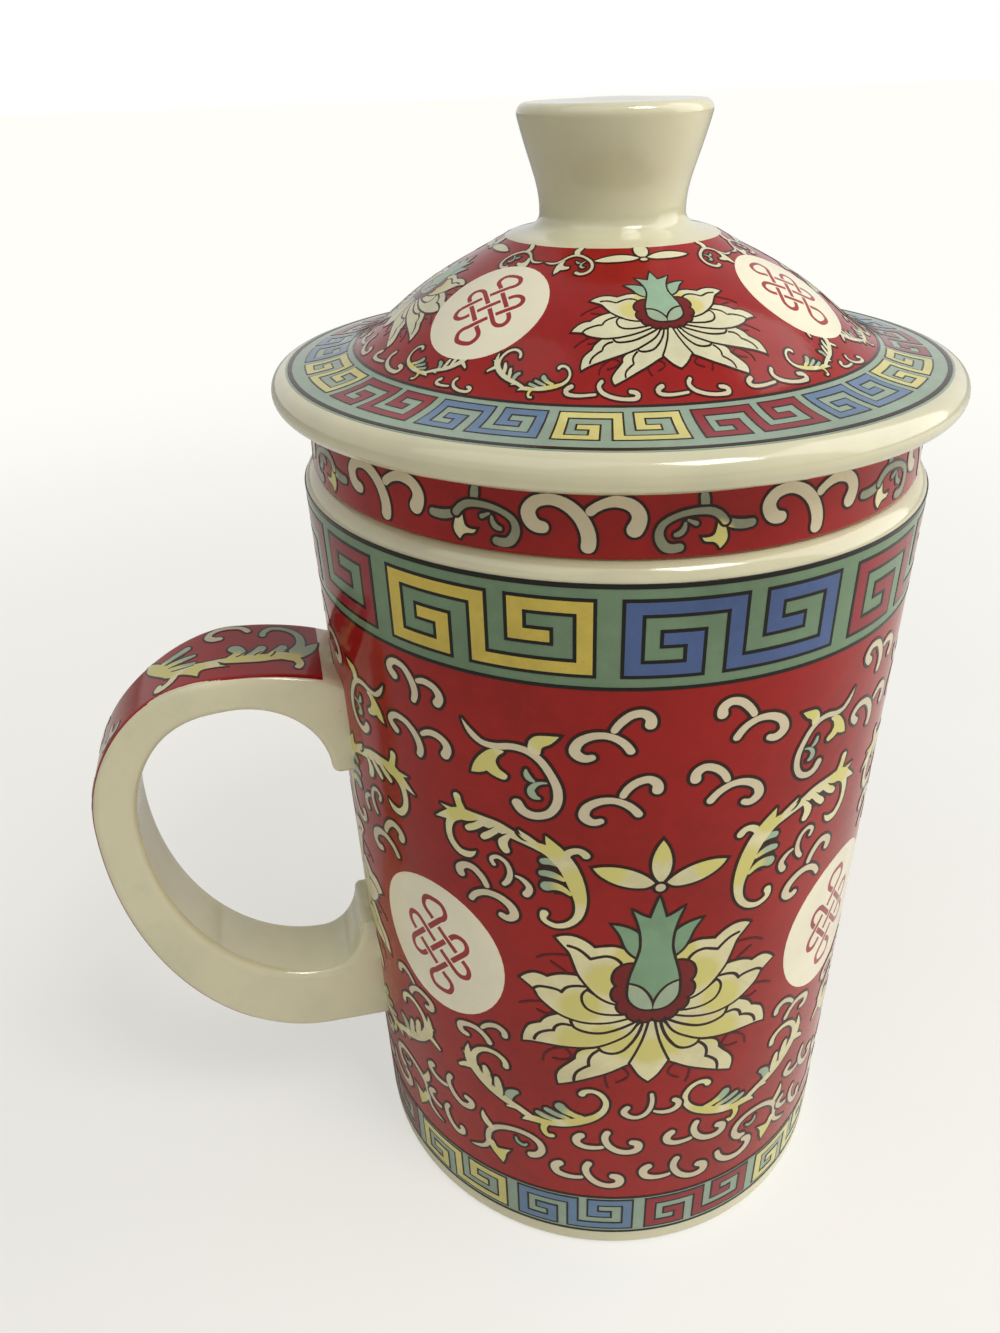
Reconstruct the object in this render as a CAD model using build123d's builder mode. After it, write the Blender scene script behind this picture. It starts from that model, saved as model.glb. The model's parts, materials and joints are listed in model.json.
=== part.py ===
from build123d import *

import math
import os

# A tall porcelain tea mug.  The cup carries a strap handle, a perforated infuser
# hangs in the cup's mouth by its collar, and a domed lid rests on the collar.
# Everything but the handle is turned about one vertical axis.  Millimetres, +Z up,
# with the foot ring standing on Z = 0 and the handle reaching along -X.

# ------------------------------------------------------------------ driving sizes

# Cup: a cone that widens upwards, on a foot ring
CUP_HEIGHT = 110.3
CUP_FOOT_RADIUS = 34.6
CUP_MOUTH_RADIUS = 39.9
CUP_WALL = 3.8
CUP_FLOOR = 4.5
CUP_FLOOR_FILLET = 6.0
FOOT_RING_WIDTH = 3.4
FOOT_RECESS = 2.0
FOOT_EDGE = 0.9
LIP_OUTER_EDGE = 2.3
LIP_INNER_EDGE = 0.5

# Handle: a flat strap bent into a loop, measured out from the cup's axis, and wider
# over its crown
HANDLE_REACH = 72.5
HANDLE_WIDTH = 11.0
CROWN_WIDTH = 16.0
CROWN_WIDE_RADIUS = 54.5
CROWN_NARROW_RADIUS = 64.0
CROWN_TAPER_EASE = 16.0
HANDLE_EDGE = 1.1
HANDLE_CROWN_HEIGHT = 86.0
HANDLE_CROWN_RADIUS = 52.0
HANDLE_WAIST_HEIGHT = 64.0
HANDLE_BASE_HEIGHT = 22.4
HANDLE_BASE_RADIUS = 44.0
STRAP_AT_CROWN = 4.9
STRAP_AT_REACH = 5.8
STRAP_AT_BASE = 10.6
UPPER_GUSSET = 11.6
LOWER_GUSSET = 7.6
UPPER_TOE_THICKNESS = 2.2
LOWER_TOE_THICKNESS = 1.7
ROOT_SWEEP = 30.0

# Infuser: a collar that stands on the cup's lip and a tapered basket below it
COLLAR_RADIUS = 38.5
COLLAR_HEIGHT = 8.3
COLLAR_SHOULDER_EDGE = 0.6
COLLAR_TOP_EDGE = 1.3
COLLAR_MOUTH_EDGE = 0.5
BASKET_CLEARANCE = 0.8
BASKET_DEPTH = 61.3
BASKET_BASE_RADIUS = 29.5
BASKET_WALL = 2.4
BASKET_FLOOR = 2.8
BASKET_CORNER = 4.0
HOLE_RADIUS = 1.25
HOLE_PITCH = 6.0
HOLE_RINGS = 3
SIDE_HOLES = 24
SIDE_HOLE_ROWS = 3

# Lid: a low bell with a rolled brim and a spigot that centres it in the collar
LID_RADIUS = 42.85
LID_HEIGHT = 18.6
LID_WALL = 3.4
BRIM_UNDER_EDGE = 1.8
BRIM_TOP_EDGE = 2.2
BRIM_SLOPE = 9.0
FLARE_RADIUS = 33.4
FLARE_HEIGHT = 5.4
SHOULDER_RADIUS = 25.0
SHOULDER_HEIGHT = 11.4
SHOULDER_SLOPE = 38.0
CROWN_RADIUS = 17.7
CROWN_HEIGHT = 15.9
SPIGOT_CLEARANCE = 0.6
SPIGOT_DEPTH = 4.2
SPIGOT_WALL = 2.4
SPIGOT_EDGE = 0.6

# Knob: a flared button on a low waist
KNOB_SEAT_RADIUS = 12.8
KNOB_SEAT_SLOPE = 31.0
KNOB_HEIGHT = 14.8
KNOB_WAIST_RADIUS = 8.8
KNOB_WAIST_HEIGHT = 2.5
KNOB_NECK_RADIUS = 9.95
KNOB_NECK_HEIGHT = 8.2
KNOB_FLARE_SLOPE = 76.0
KNOB_RADIUS = 11.5
KNOB_EDGE = 1.2
KNOB_CROWN = 0.35

# ------------------------------------------------------------------ derived sizes

# The turning axis stands off the origin so that the whole piece is centred on it
AXIS_X = (HANDLE_REACH - LID_RADIUS) / 2
TURNING_AXIS = Axis((AXIS_X, 0, 0), (0, 0, 1))

# Section planes: local x is the distance from the axis and local y is the height
SECTION_PLANE = Plane(origin=(AXIS_X, 0, 0), x_dir=(1, 0, 0), z_dir=(0, -1, 0))
HANDLE_PLANE = Plane(origin=(AXIS_X, 0, 0), x_dir=(-1, 0, 0), z_dir=(0, 1, 0))


def cup_outside(height):
    """Radius of the cup's outer wall at a height."""
    return CUP_FOOT_RADIUS + (CUP_MOUTH_RADIUS - CUP_FOOT_RADIUS) * height / CUP_HEIGHT


def cup_inside(height):
    """Radius of the cup's inner wall at a height."""
    return cup_outside(height) - CUP_WALL


COLLAR_TOP = CUP_HEIGHT + COLLAR_HEIGHT
BASKET_MOUTH_RADIUS = cup_inside(CUP_HEIGHT) - BASKET_CLEARANCE
BASKET_BASE = CUP_HEIGHT - BASKET_DEPTH


def basket_outside(height):
    """Radius of the basket's outer wall at a height."""
    rise = (height - BASKET_BASE) / BASKET_DEPTH
    return BASKET_BASE_RADIUS + (BASKET_MOUTH_RADIUS - BASKET_BASE_RADIUS) * rise


def basket_inside(height):
    """Radius of the infuser's inner wall, which runs straight on up through the collar."""
    return basket_outside(height) - BASKET_WALL


SPIGOT_RADIUS = basket_inside(COLLAR_TOP - SPIGOT_DEPTH) - SPIGOT_CLEARANCE
SPIGOT_BORE = SPIGOT_RADIUS - SPIGOT_WALL
KNOB_SEAT = COLLAR_TOP + LID_HEIGHT
LID_BORE_TOP = KNOB_SEAT - LID_WALL


def nearest_corners(sketch, *points):
    """The sketch's vertices that lie nearest to the given points."""
    return [sketch.vertices().sort_by_distance(point)[0] for point in points]


def heading(degrees):
    """A unit direction in a section plane, measured from the outward axis."""
    angle = math.radians(degrees)
    return (math.cos(angle), math.sin(angle))


def inset(radius, height, slope):
    """The point one lid wall inside a point of the dome, square to its surface."""
    angle = math.radians(slope)
    return (radius - LID_WALL * math.sin(angle), height - LID_WALL * math.cos(angle))


os.makedirs("parts", exist_ok=True)

# ------------------------------------------------------------------ cup

FOOT_RING_BORE = cup_outside(0) - FOOT_RING_WIDTH
CUP_FLOOR_TOP = FOOT_RECESS + CUP_FLOOR

with BuildPart() as mug_cup:
    with BuildSketch(SECTION_PLANE) as cup_section:
        with BuildLine():
            Polyline(
                (0, FOOT_RECESS),
                (FOOT_RING_BORE, FOOT_RECESS),
                (FOOT_RING_BORE, 0),
                (cup_outside(0), 0),
                (cup_outside(CUP_HEIGHT), CUP_HEIGHT),
                (cup_inside(CUP_HEIGHT), CUP_HEIGHT),
                (cup_inside(CUP_FLOOR_TOP), CUP_FLOOR_TOP),
                (0, CUP_FLOOR_TOP),
                close=True,
            )
        make_face()
        foot_corners = nearest_corners(cup_section, (FOOT_RING_BORE, 0), (cup_outside(0), 0))
        fillet(foot_corners, FOOT_EDGE)
        lip_outside = (cup_outside(CUP_HEIGHT), CUP_HEIGHT)
        fillet(nearest_corners(cup_section, lip_outside), LIP_OUTER_EDGE)
        lip_inside = (cup_inside(CUP_HEIGHT), CUP_HEIGHT)
        fillet(nearest_corners(cup_section, lip_inside), LIP_INNER_EDGE)
        floor_corner = (cup_inside(CUP_FLOOR_TOP), CUP_FLOOR_TOP)
        fillet(nearest_corners(cup_section, floor_corner), CUP_FLOOR_FILLET)
    revolve(axis=TURNING_AXIS)

mug_cup.part.label = "mug_cup"
export_step(mug_cup.part, "parts/mug_cup.step")

# ------------------------------------------------------------------ handle

LOOP_CROWN_HEIGHT = HANDLE_CROWN_HEIGHT - STRAP_AT_CROWN
LOOP_REACH = HANDLE_REACH - STRAP_AT_REACH
LOOP_BASE_HEIGHT = HANDLE_BASE_HEIGHT + STRAP_AT_BASE
UPPER_TOE_HEIGHT = LOOP_CROWN_HEIGHT - UPPER_GUSSET
LOWER_TOE_HEIGHT = LOOP_BASE_HEIGHT + LOWER_GUSSET
UPPER_TOE_RADIUS = cup_outside(UPPER_TOE_HEIGHT) + UPPER_TOE_THICKNESS
LOWER_TOE_RADIUS = cup_outside(LOWER_TOE_HEIGHT) + LOWER_TOE_THICKNESS
# Both roots run on to this radius, inside the cup's wall, before they are cut back
ROOT_RADIUS = cup_inside(0)

with BuildPart() as mug_handle:
    with BuildSketch(HANDLE_PLANE) as handle_section:
        with BuildLine():
            # Outside of the loop, from its base round the reach and over the crown
            base_arc = EllipticalCenterArc(
                (HANDLE_BASE_RADIUS, HANDLE_WAIST_HEIGHT),
                HANDLE_REACH - HANDLE_BASE_RADIUS,
                HANDLE_WAIST_HEIGHT - HANDLE_BASE_HEIGHT,
                start_angle=270,
                arc_size=90,
            )
            crown_arc = EllipticalCenterArc(
                (HANDLE_CROWN_RADIUS, HANDLE_WAIST_HEIGHT),
                HANDLE_REACH - HANDLE_CROWN_RADIUS,
                HANDLE_CROWN_HEIGHT - HANDLE_WAIST_HEIGHT,
                start_angle=0,
                arc_size=90,
            )
            root_arc = EllipticalCenterArc(
                (HANDLE_CROWN_RADIUS, HANDLE_WAIST_HEIGHT),
                ROOT_SWEEP,
                HANDLE_CROWN_HEIGHT - HANDLE_WAIST_HEIGHT,
                start_angle=90,
                arc_size=math.degrees(math.asin((HANDLE_CROWN_RADIUS - ROOT_RADIUS) / ROOT_SWEEP)),
            )
            # Inside of the loop, with a gusset down the wall at each root
            loop_base_arc = EllipticalCenterArc(
                (HANDLE_BASE_RADIUS, HANDLE_WAIST_HEIGHT),
                LOOP_REACH - HANDLE_BASE_RADIUS,
                HANDLE_WAIST_HEIGHT - LOOP_BASE_HEIGHT,
                start_angle=270,
                arc_size=90,
            )
            loop_crown_arc = EllipticalCenterArc(
                (HANDLE_CROWN_RADIUS, HANDLE_WAIST_HEIGHT),
                LOOP_REACH - HANDLE_CROWN_RADIUS,
                LOOP_CROWN_HEIGHT - HANDLE_WAIST_HEIGHT,
                start_angle=0,
                arc_size=90,
            )
            upper_gusset = EllipticalCenterArc(
                (HANDLE_CROWN_RADIUS, UPPER_TOE_HEIGHT),
                HANDLE_CROWN_RADIUS - UPPER_TOE_RADIUS,
                UPPER_GUSSET,
                start_angle=90,
                arc_size=90,
            )
            lower_gusset = EllipticalCenterArc(
                (HANDLE_BASE_RADIUS, LOWER_TOE_HEIGHT),
                HANDLE_BASE_RADIUS - LOWER_TOE_RADIUS,
                LOWER_GUSSET,
                start_angle=180,
                arc_size=90,
            )
            # The two roots, closed off inside the cup's wall
            Polyline(
                root_arc @ 1,
                (ROOT_RADIUS, UPPER_TOE_HEIGHT),
                upper_gusset @ 1,
            )
            Polyline(
                lower_gusset @ 0,
                (ROOT_RADIUS, LOWER_TOE_HEIGHT),
                (ROOT_RADIUS, HANDLE_BASE_HEIGHT),
                base_arc @ 0,
            )
        make_face()
        upper_toe = nearest_corners(handle_section, (UPPER_TOE_RADIUS, UPPER_TOE_HEIGHT))
        fillet(upper_toe, UPPER_TOE_THICKNESS / 2)
        lower_toe = nearest_corners(handle_section, (LOWER_TOE_RADIUS, LOWER_TOE_HEIGHT))
        fillet(lower_toe, LOWER_TOE_THICKNESS / 2)
    extrude(amount=CROWN_WIDTH / 2, both=True)
    # Below the waist the strap is narrow all the way
    with BuildSketch() as lower_margins:
        with Locations((AXIS_X - HANDLE_REACH / 2, 0)):
            Rectangle(2 * HANDLE_REACH, 2 * CROWN_WIDTH)
            Rectangle(2 * HANDLE_REACH, HANDLE_WIDTH, mode=Mode.SUBTRACT)
    extrude(amount=HANDLE_WAIST_HEIGHT, mode=Mode.SUBTRACT)
    # Above it the crown, seen from above, narrows on its way out
    with BuildSketch(Plane.XY.offset(HANDLE_WAIST_HEIGHT)) as upper_margins:
        with Locations((AXIS_X - HANDLE_REACH / 2, 0)):
            Rectangle(2 * HANDLE_REACH, 2 * CROWN_WIDTH)
        with BuildLine():
            Polyline(
                (2 * AXIS_X, CROWN_WIDTH / 2),
                (AXIS_X - CROWN_WIDE_RADIUS, CROWN_WIDTH / 2),
                (AXIS_X - CROWN_NARROW_RADIUS, HANDLE_WIDTH / 2),
                (AXIS_X - 2 * HANDLE_REACH, HANDLE_WIDTH / 2),
                (AXIS_X - 2 * HANDLE_REACH, -HANDLE_WIDTH / 2),
                (AXIS_X - CROWN_NARROW_RADIUS, -HANDLE_WIDTH / 2),
                (AXIS_X - CROWN_WIDE_RADIUS, -CROWN_WIDTH / 2),
                (2 * AXIS_X, -CROWN_WIDTH / 2),
                close=True,
            )
        make_face(mode=Mode.SUBTRACT)
        taper_bends = nearest_corners(
            upper_margins,
            (AXIS_X - CROWN_WIDE_RADIUS, CROWN_WIDTH / 2),
            (AXIS_X - CROWN_NARROW_RADIUS, HANDLE_WIDTH / 2),
            (AXIS_X - CROWN_WIDE_RADIUS, -CROWN_WIDTH / 2),
            (AXIS_X - CROWN_NARROW_RADIUS, -HANDLE_WIDTH / 2),
        )
        fillet(taper_bends, CROWN_TAPER_EASE)
    extrude(amount=HANDLE_WAIST_HEIGHT, mode=Mode.SUBTRACT)
    side_faces = mug_handle.faces().filter_by(lambda face: abs(face.normal_at().Y) > 0.8)
    side_edges = [edge for face in side_faces for edge in face.edges()]
    rims = [edge for edge in side_edges if sum(map(edge.is_same, side_edges)) == 1]
    fillet(rims, HANDLE_EDGE)
    # The cup's outer cone, which the two roots fit
    with BuildSketch(SECTION_PLANE):
        with BuildLine():
            Polyline(
                (0, 0),
                (cup_outside(0), 0),
                (cup_outside(CUP_HEIGHT), CUP_HEIGHT),
                (0, CUP_HEIGHT),
                close=True,
            )
        make_face()
    revolve(axis=TURNING_AXIS, mode=Mode.SUBTRACT)

mug_handle.part.label = "mug_handle"
export_step(mug_handle.part, "parts/mug_handle.step")

# ------------------------------------------------------------------ infuser

BASKET_FLOOR_TOP = BASKET_BASE + BASKET_FLOOR
SIDE_ROW_PITCH = HOLE_PITCH
FIRST_SIDE_ROW = BASKET_BASE + BASKET_CORNER + HOLE_PITCH

with BuildPart() as infuser:
    with BuildSketch(SECTION_PLANE) as infuser_section:
        with BuildLine():
            Polyline(
                (0, BASKET_BASE),
                (BASKET_BASE_RADIUS, BASKET_BASE),
                (BASKET_MOUTH_RADIUS, CUP_HEIGHT),
                (COLLAR_RADIUS, CUP_HEIGHT),
                (COLLAR_RADIUS, COLLAR_TOP),
                (basket_inside(COLLAR_TOP), COLLAR_TOP),
                (basket_inside(BASKET_FLOOR_TOP), BASKET_FLOOR_TOP),
                (0, BASKET_FLOOR_TOP),
                close=True,
            )
        make_face()
        basket_corner = (BASKET_BASE_RADIUS, BASKET_BASE)
        fillet(nearest_corners(infuser_section, basket_corner), BASKET_CORNER)
        inner_corner = (basket_inside(BASKET_FLOOR_TOP), BASKET_FLOOR_TOP)
        fillet(nearest_corners(infuser_section, inner_corner), BASKET_CORNER - BASKET_WALL / 2)
        shoulder_corner = (COLLAR_RADIUS, CUP_HEIGHT)
        fillet(nearest_corners(infuser_section, shoulder_corner), COLLAR_SHOULDER_EDGE)
        collar_corner = (COLLAR_RADIUS, COLLAR_TOP)
        fillet(nearest_corners(infuser_section, collar_corner), COLLAR_TOP_EDGE)
        mouth_corner = (basket_inside(COLLAR_TOP), COLLAR_TOP)
        fillet(nearest_corners(infuser_section, mouth_corner), COLLAR_MOUTH_EDGE)
    revolve(axis=TURNING_AXIS)
    # Holes in the basket's floor: one in the middle and rings of six, twelve, eighteen
    with BuildSketch(Plane(origin=(AXIS_X, 0, BASKET_BASE))):
        Circle(HOLE_RADIUS)
        for ring in range(1, HOLE_RINGS + 1):
            with PolarLocations(ring * HOLE_PITCH, 6 * ring):
                Circle(HOLE_RADIUS)
    extrude(amount=BASKET_FLOOR, mode=Mode.SUBTRACT)
    # Rows of holes round the basket's lower wall, each row turned by half a hole
    for row in range(SIDE_HOLE_ROWS):
        row_height = FIRST_SIDE_ROW + row * SIDE_ROW_PITCH
        stagger = 180 / SIDE_HOLES * (row % 2)
        with Locations(Location((AXIS_X, 0, row_height))):
            with PolarLocations(basket_inside(row_height), SIDE_HOLES, start_angle=stagger):
                Cylinder(
                    HOLE_RADIUS,
                    4 * BASKET_WALL,
                    rotation=(0, 90, 0),
                    mode=Mode.SUBTRACT,
                )

infuser.part.label = "infuser"
export_step(infuser.part, "parts/infuser.step")

# ------------------------------------------------------------------ lid

BRIM_TURN = 90 - BRIM_SLOPE
BRIM_WAIST_HEIGHT = COLLAR_TOP + BRIM_UNDER_EDGE

with BuildPart() as lid_dome:
    with BuildSketch(SECTION_PLANE) as dome_section:
        with BuildLine():
            # The rolled brim: under edge, then over the top to the flare's slope
            under_edge = CenterArc(
                (LID_RADIUS - BRIM_UNDER_EDGE, BRIM_WAIST_HEIGHT),
                BRIM_UNDER_EDGE,
                start_angle=-90,
                arc_size=90,
            )
            top_edge = CenterArc(
                (LID_RADIUS - BRIM_TOP_EDGE, BRIM_WAIST_HEIGHT),
                BRIM_TOP_EDGE,
                start_angle=0,
                arc_size=BRIM_TURN,
            )
            # The bell, hollow near the brim and full near the knob
            Spline(
                top_edge @ 1,
                (FLARE_RADIUS, COLLAR_TOP + FLARE_HEIGHT),
                (SHOULDER_RADIUS, COLLAR_TOP + SHOULDER_HEIGHT),
                (CROWN_RADIUS, COLLAR_TOP + CROWN_HEIGHT),
                (KNOB_SEAT_RADIUS, KNOB_SEAT),
                tangents=(heading(180 - BRIM_SLOPE), heading(180 - KNOB_SEAT_SLOPE)),
            )
            Polyline((KNOB_SEAT_RADIUS, KNOB_SEAT), (0, KNOB_SEAT), (0, LID_BORE_TOP))
            # The hollow under the bell, one wall inside it
            shoulder_inside = inset(
                SHOULDER_RADIUS, COLLAR_TOP + SHOULDER_HEIGHT, SHOULDER_SLOPE
            )
            Spline(
                (0, LID_BORE_TOP),
                shoulder_inside,
                (SPIGOT_BORE, COLLAR_TOP),
                tangents=(heading(0), heading(-90)),
            )
            Polyline(
                (SPIGOT_BORE, COLLAR_TOP),
                (SPIGOT_BORE, COLLAR_TOP - SPIGOT_DEPTH),
                (SPIGOT_RADIUS, COLLAR_TOP - SPIGOT_DEPTH),
                (SPIGOT_RADIUS, COLLAR_TOP),
                under_edge @ 0,
            )
        make_face()
        spigot_rim = nearest_corners(
            dome_section,
            (SPIGOT_BORE, COLLAR_TOP - SPIGOT_DEPTH),
            (SPIGOT_RADIUS, COLLAR_TOP - SPIGOT_DEPTH),
        )
        fillet(spigot_rim, SPIGOT_EDGE)
    revolve(axis=TURNING_AXIS)

lid_dome.part.label = "lid_dome"
export_step(lid_dome.part, "parts/lid_dome.step")

# ------------------------------------------------------------------ knob

KNOB_TOP = KNOB_SEAT + KNOB_HEIGHT

with BuildPart() as lid_knob:
    with BuildSketch(SECTION_PLANE):
        with BuildLine():
            # The rim, rounded from the flare's slope to the top
            rim_edge = CenterArc(
                (KNOB_RADIUS - KNOB_EDGE, KNOB_TOP - KNOB_EDGE),
                KNOB_EDGE,
                start_angle=KNOB_FLARE_SLOPE - 90,
                arc_size=180 - KNOB_FLARE_SLOPE,
            )
            # The stem sweeps in to the waist and flares out again to the rim
            stem_foot = Spline(
                (KNOB_SEAT_RADIUS, KNOB_SEAT),
                (KNOB_WAIST_RADIUS, KNOB_SEAT + KNOB_WAIST_HEIGHT),
                tangents=(heading(180 - KNOB_SEAT_SLOPE), heading(90)),
            )
            Spline(
                stem_foot @ 1,
                (KNOB_NECK_RADIUS, KNOB_SEAT + KNOB_NECK_HEIGHT),
                rim_edge @ 0,
                tangents=(heading(90), heading(KNOB_FLARE_SLOPE)),
            )
            Spline(
                rim_edge @ 1,
                (0, KNOB_TOP + KNOB_CROWN),
                tangents=(heading(180), heading(180)),
            )
            Polyline(
                (0, KNOB_TOP + KNOB_CROWN),
                (0, KNOB_SEAT),
                (KNOB_SEAT_RADIUS, KNOB_SEAT),
            )
        make_face()
    revolve(axis=TURNING_AXIS)

lid_knob.part.label = "lid_knob"
export_step(lid_knob.part, "parts/lid_knob.step")
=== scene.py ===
"""A lidded tea mug with an infuser: porcelain under red enamel, with lotus flowers and key borders."""

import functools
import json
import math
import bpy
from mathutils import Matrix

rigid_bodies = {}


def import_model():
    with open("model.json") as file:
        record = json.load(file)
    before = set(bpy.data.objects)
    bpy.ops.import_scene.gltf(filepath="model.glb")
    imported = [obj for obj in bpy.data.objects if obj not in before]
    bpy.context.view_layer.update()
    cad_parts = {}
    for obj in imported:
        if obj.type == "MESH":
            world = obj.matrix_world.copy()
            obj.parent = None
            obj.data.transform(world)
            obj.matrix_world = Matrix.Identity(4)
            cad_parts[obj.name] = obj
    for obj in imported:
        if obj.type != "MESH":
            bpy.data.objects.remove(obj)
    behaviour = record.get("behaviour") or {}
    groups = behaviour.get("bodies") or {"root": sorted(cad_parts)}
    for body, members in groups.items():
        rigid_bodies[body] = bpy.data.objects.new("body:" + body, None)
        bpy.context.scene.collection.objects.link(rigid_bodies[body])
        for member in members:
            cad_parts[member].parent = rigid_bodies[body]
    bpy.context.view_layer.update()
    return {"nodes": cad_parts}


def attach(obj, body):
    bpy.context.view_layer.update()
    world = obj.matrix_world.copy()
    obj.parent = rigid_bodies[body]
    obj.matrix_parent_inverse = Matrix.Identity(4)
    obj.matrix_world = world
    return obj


bl_info = {
    "name": "Lidded tea mug with infuser",
    "version": (1, 0, 0),
    "blender": (4, 5, 0),
    "location": "View3D > Sidebar > Tea Mug",
    "description": "Builds the glaze, the painted enamel and the studio of a lidded tea mug with an infuser",
    "category": "Add Mesh",
}

import bmesh
import bpy
import numpy as np
from mathutils import Matrix, Vector
from mathutils.geometry import delaunay_2d_cdt

for startup in list(bpy.data.objects):
    bpy.data.objects.remove(startup)
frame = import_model()

# Lengths are millimetres and angles are degrees, unless a comment says otherwise.
MM = 0.001

# The mug's axis, the cup's height, its radius at the foot and what the radius gains up to the lip.
AXIS_X = 14.825
CUP_TOP, FOOT_RADIUS, CUP_FLARE = 110.3, 34.6, 5.3

# The infuser's collar with the round at its foot, and the middle and radius of the brim's round.
COLLAR_TOP, COLLAR_RADIUS, COLLAR_ROUND = 118.6, 38.5, 0.6
BRIM_RADIUS, BRIM_HEIGHT, BRIM_ROUND = 40.65, 120.4, 2.2

# The radius at which a flat tile's x is a length round the axis, and the width of a quarter of the cup.
CUP_WRAP, MOUTH_WRAP, FOOT_WRAP = 36.5, 39.5, 35.0
LID_WRAP, BRIM_WRAP = 25.0, 36.0
FIELD_WIDTH = 57.334
GROUND_COPIES = 12

# The angle round the axis at which the middle of a tile stands.
FLOWER_TURN, MOUTH_TURN, FOOT_TURN = 263.0, 272.9, 248.0
COLLAR_TURN, LID_TURN = 252.0, 268.3


# ---------------------------------------------------------------- node trees


class Wire:
    """A node's output socket that takes part in ordinary arithmetic."""

    def __init__(self, tree, socket):
        self.tree = tree
        self.socket = socket

    def output(self, key):
        """Another output of the same node."""
        return Wire(self.tree, self.socket.node.outputs[key])

    def __add__(self, other):
        return self.tree.math("ADD", self, other)

    def __radd__(self, other):
        return self.tree.math("ADD", other, self)

    def __sub__(self, other):
        return self.tree.math("SUBTRACT", self, other)

    def __rsub__(self, other):
        return self.tree.math("SUBTRACT", other, self)

    def __mul__(self, other):
        return self.tree.math("MULTIPLY", self, other)

    def __truediv__(self, other):
        return self.tree.math("DIVIDE", self, other)


class Tree:
    """Adds nodes to a node tree, each with its settings first and then its values or links."""

    def __init__(self, node_tree):
        self.nodes = node_tree.nodes
        self.links = node_tree.links

    def node(self, kind, settings=None, inputs=None, out=0):
        node = self.nodes.new(kind)
        for name, value in (settings or {}).items():
            setattr(node, name, value)
        for key, value in (inputs or {}).items():
            if isinstance(value, Wire):
                self.links.new(value.socket, node.inputs[key])
            else:
                node.inputs[key].default_value = value
        return Wire(self, node.outputs[out]) if len(node.outputs) else None

    def math(self, operation, *values):
        return self.node("ShaderNodeMath", {"operation": operation}, dict(enumerate(values)))

    def apart(self, vector):
        """The x, y and z of a vector."""
        split = self.node("ShaderNodeSeparateXYZ", inputs={0: vector})
        return [split.output(axis) for axis in range(3)]

    def vector(self, *parts):
        return self.node("ShaderNodeCombineXYZ", inputs=dict(enumerate(parts)))

    def mix(self, factor, first, second):
        return self.node("ShaderNodeMix", {"data_type": "RGBA"}, {0: factor, 6: first, 7: second}, out=2)

    def smoothstep(self, value, low, high):
        return self.node(
            "ShaderNodeMapRange",
            {"interpolation_type": "SMOOTHSTEP"},
            {"Value": value, "From Min": low, "From Max": high},
        )

    def noise(self, place, scale, detail, roughness=0.5):
        inputs = {"Vector": place, "Scale": scale, "Detail": detail, "Roughness": roughness}
        return self.node("ShaderNodeTexNoise", inputs=inputs)

    def cells(self, place, scale):
        """The distance to the nearest of some scattered points."""
        return self.node(
            "ShaderNodeTexVoronoi", {"feature": "F1"}, {"Vector": place, "Scale": scale}, out="Distance"
        )

    def bump(self, height, strength, distance):
        inputs = {"Strength": strength, "Distance": distance, "Height": height}
        return self.node("ShaderNodeBump", inputs=inputs)


def shader_tree(owner):
    """The emptied node tree of a new material or world."""
    owner.use_nodes = True
    owner.node_tree.nodes.clear()
    return Tree(owner.node_tree)


def srgb(red, green, blue):
    """A screen colour, 0 to 255, as the linear values that the shaders take."""
    return tuple(((c / 255 + 0.055) / 1.055) ** 2.4 if c > 10 else c / 3294.6 for c in (red, green, blue))


def shade(colour, factor=1.0):
    return tuple(min(1.0, c * factor) for c in colour[:3]) + (1.0,)


# ---------------------------------------------------------------- what a user may change


def colour_property(name, description, *default):
    return bpy.props.FloatVectorProperty(
        name=name, description=description, subtype="COLOR", size=3, min=0.0, max=1.0, default=srgb(*default)
    )


def length_property(name, description, default):
    return bpy.props.FloatProperty(
        name=name, description=description, unit="LENGTH", min=0.0, default=default * MM
    )


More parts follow.
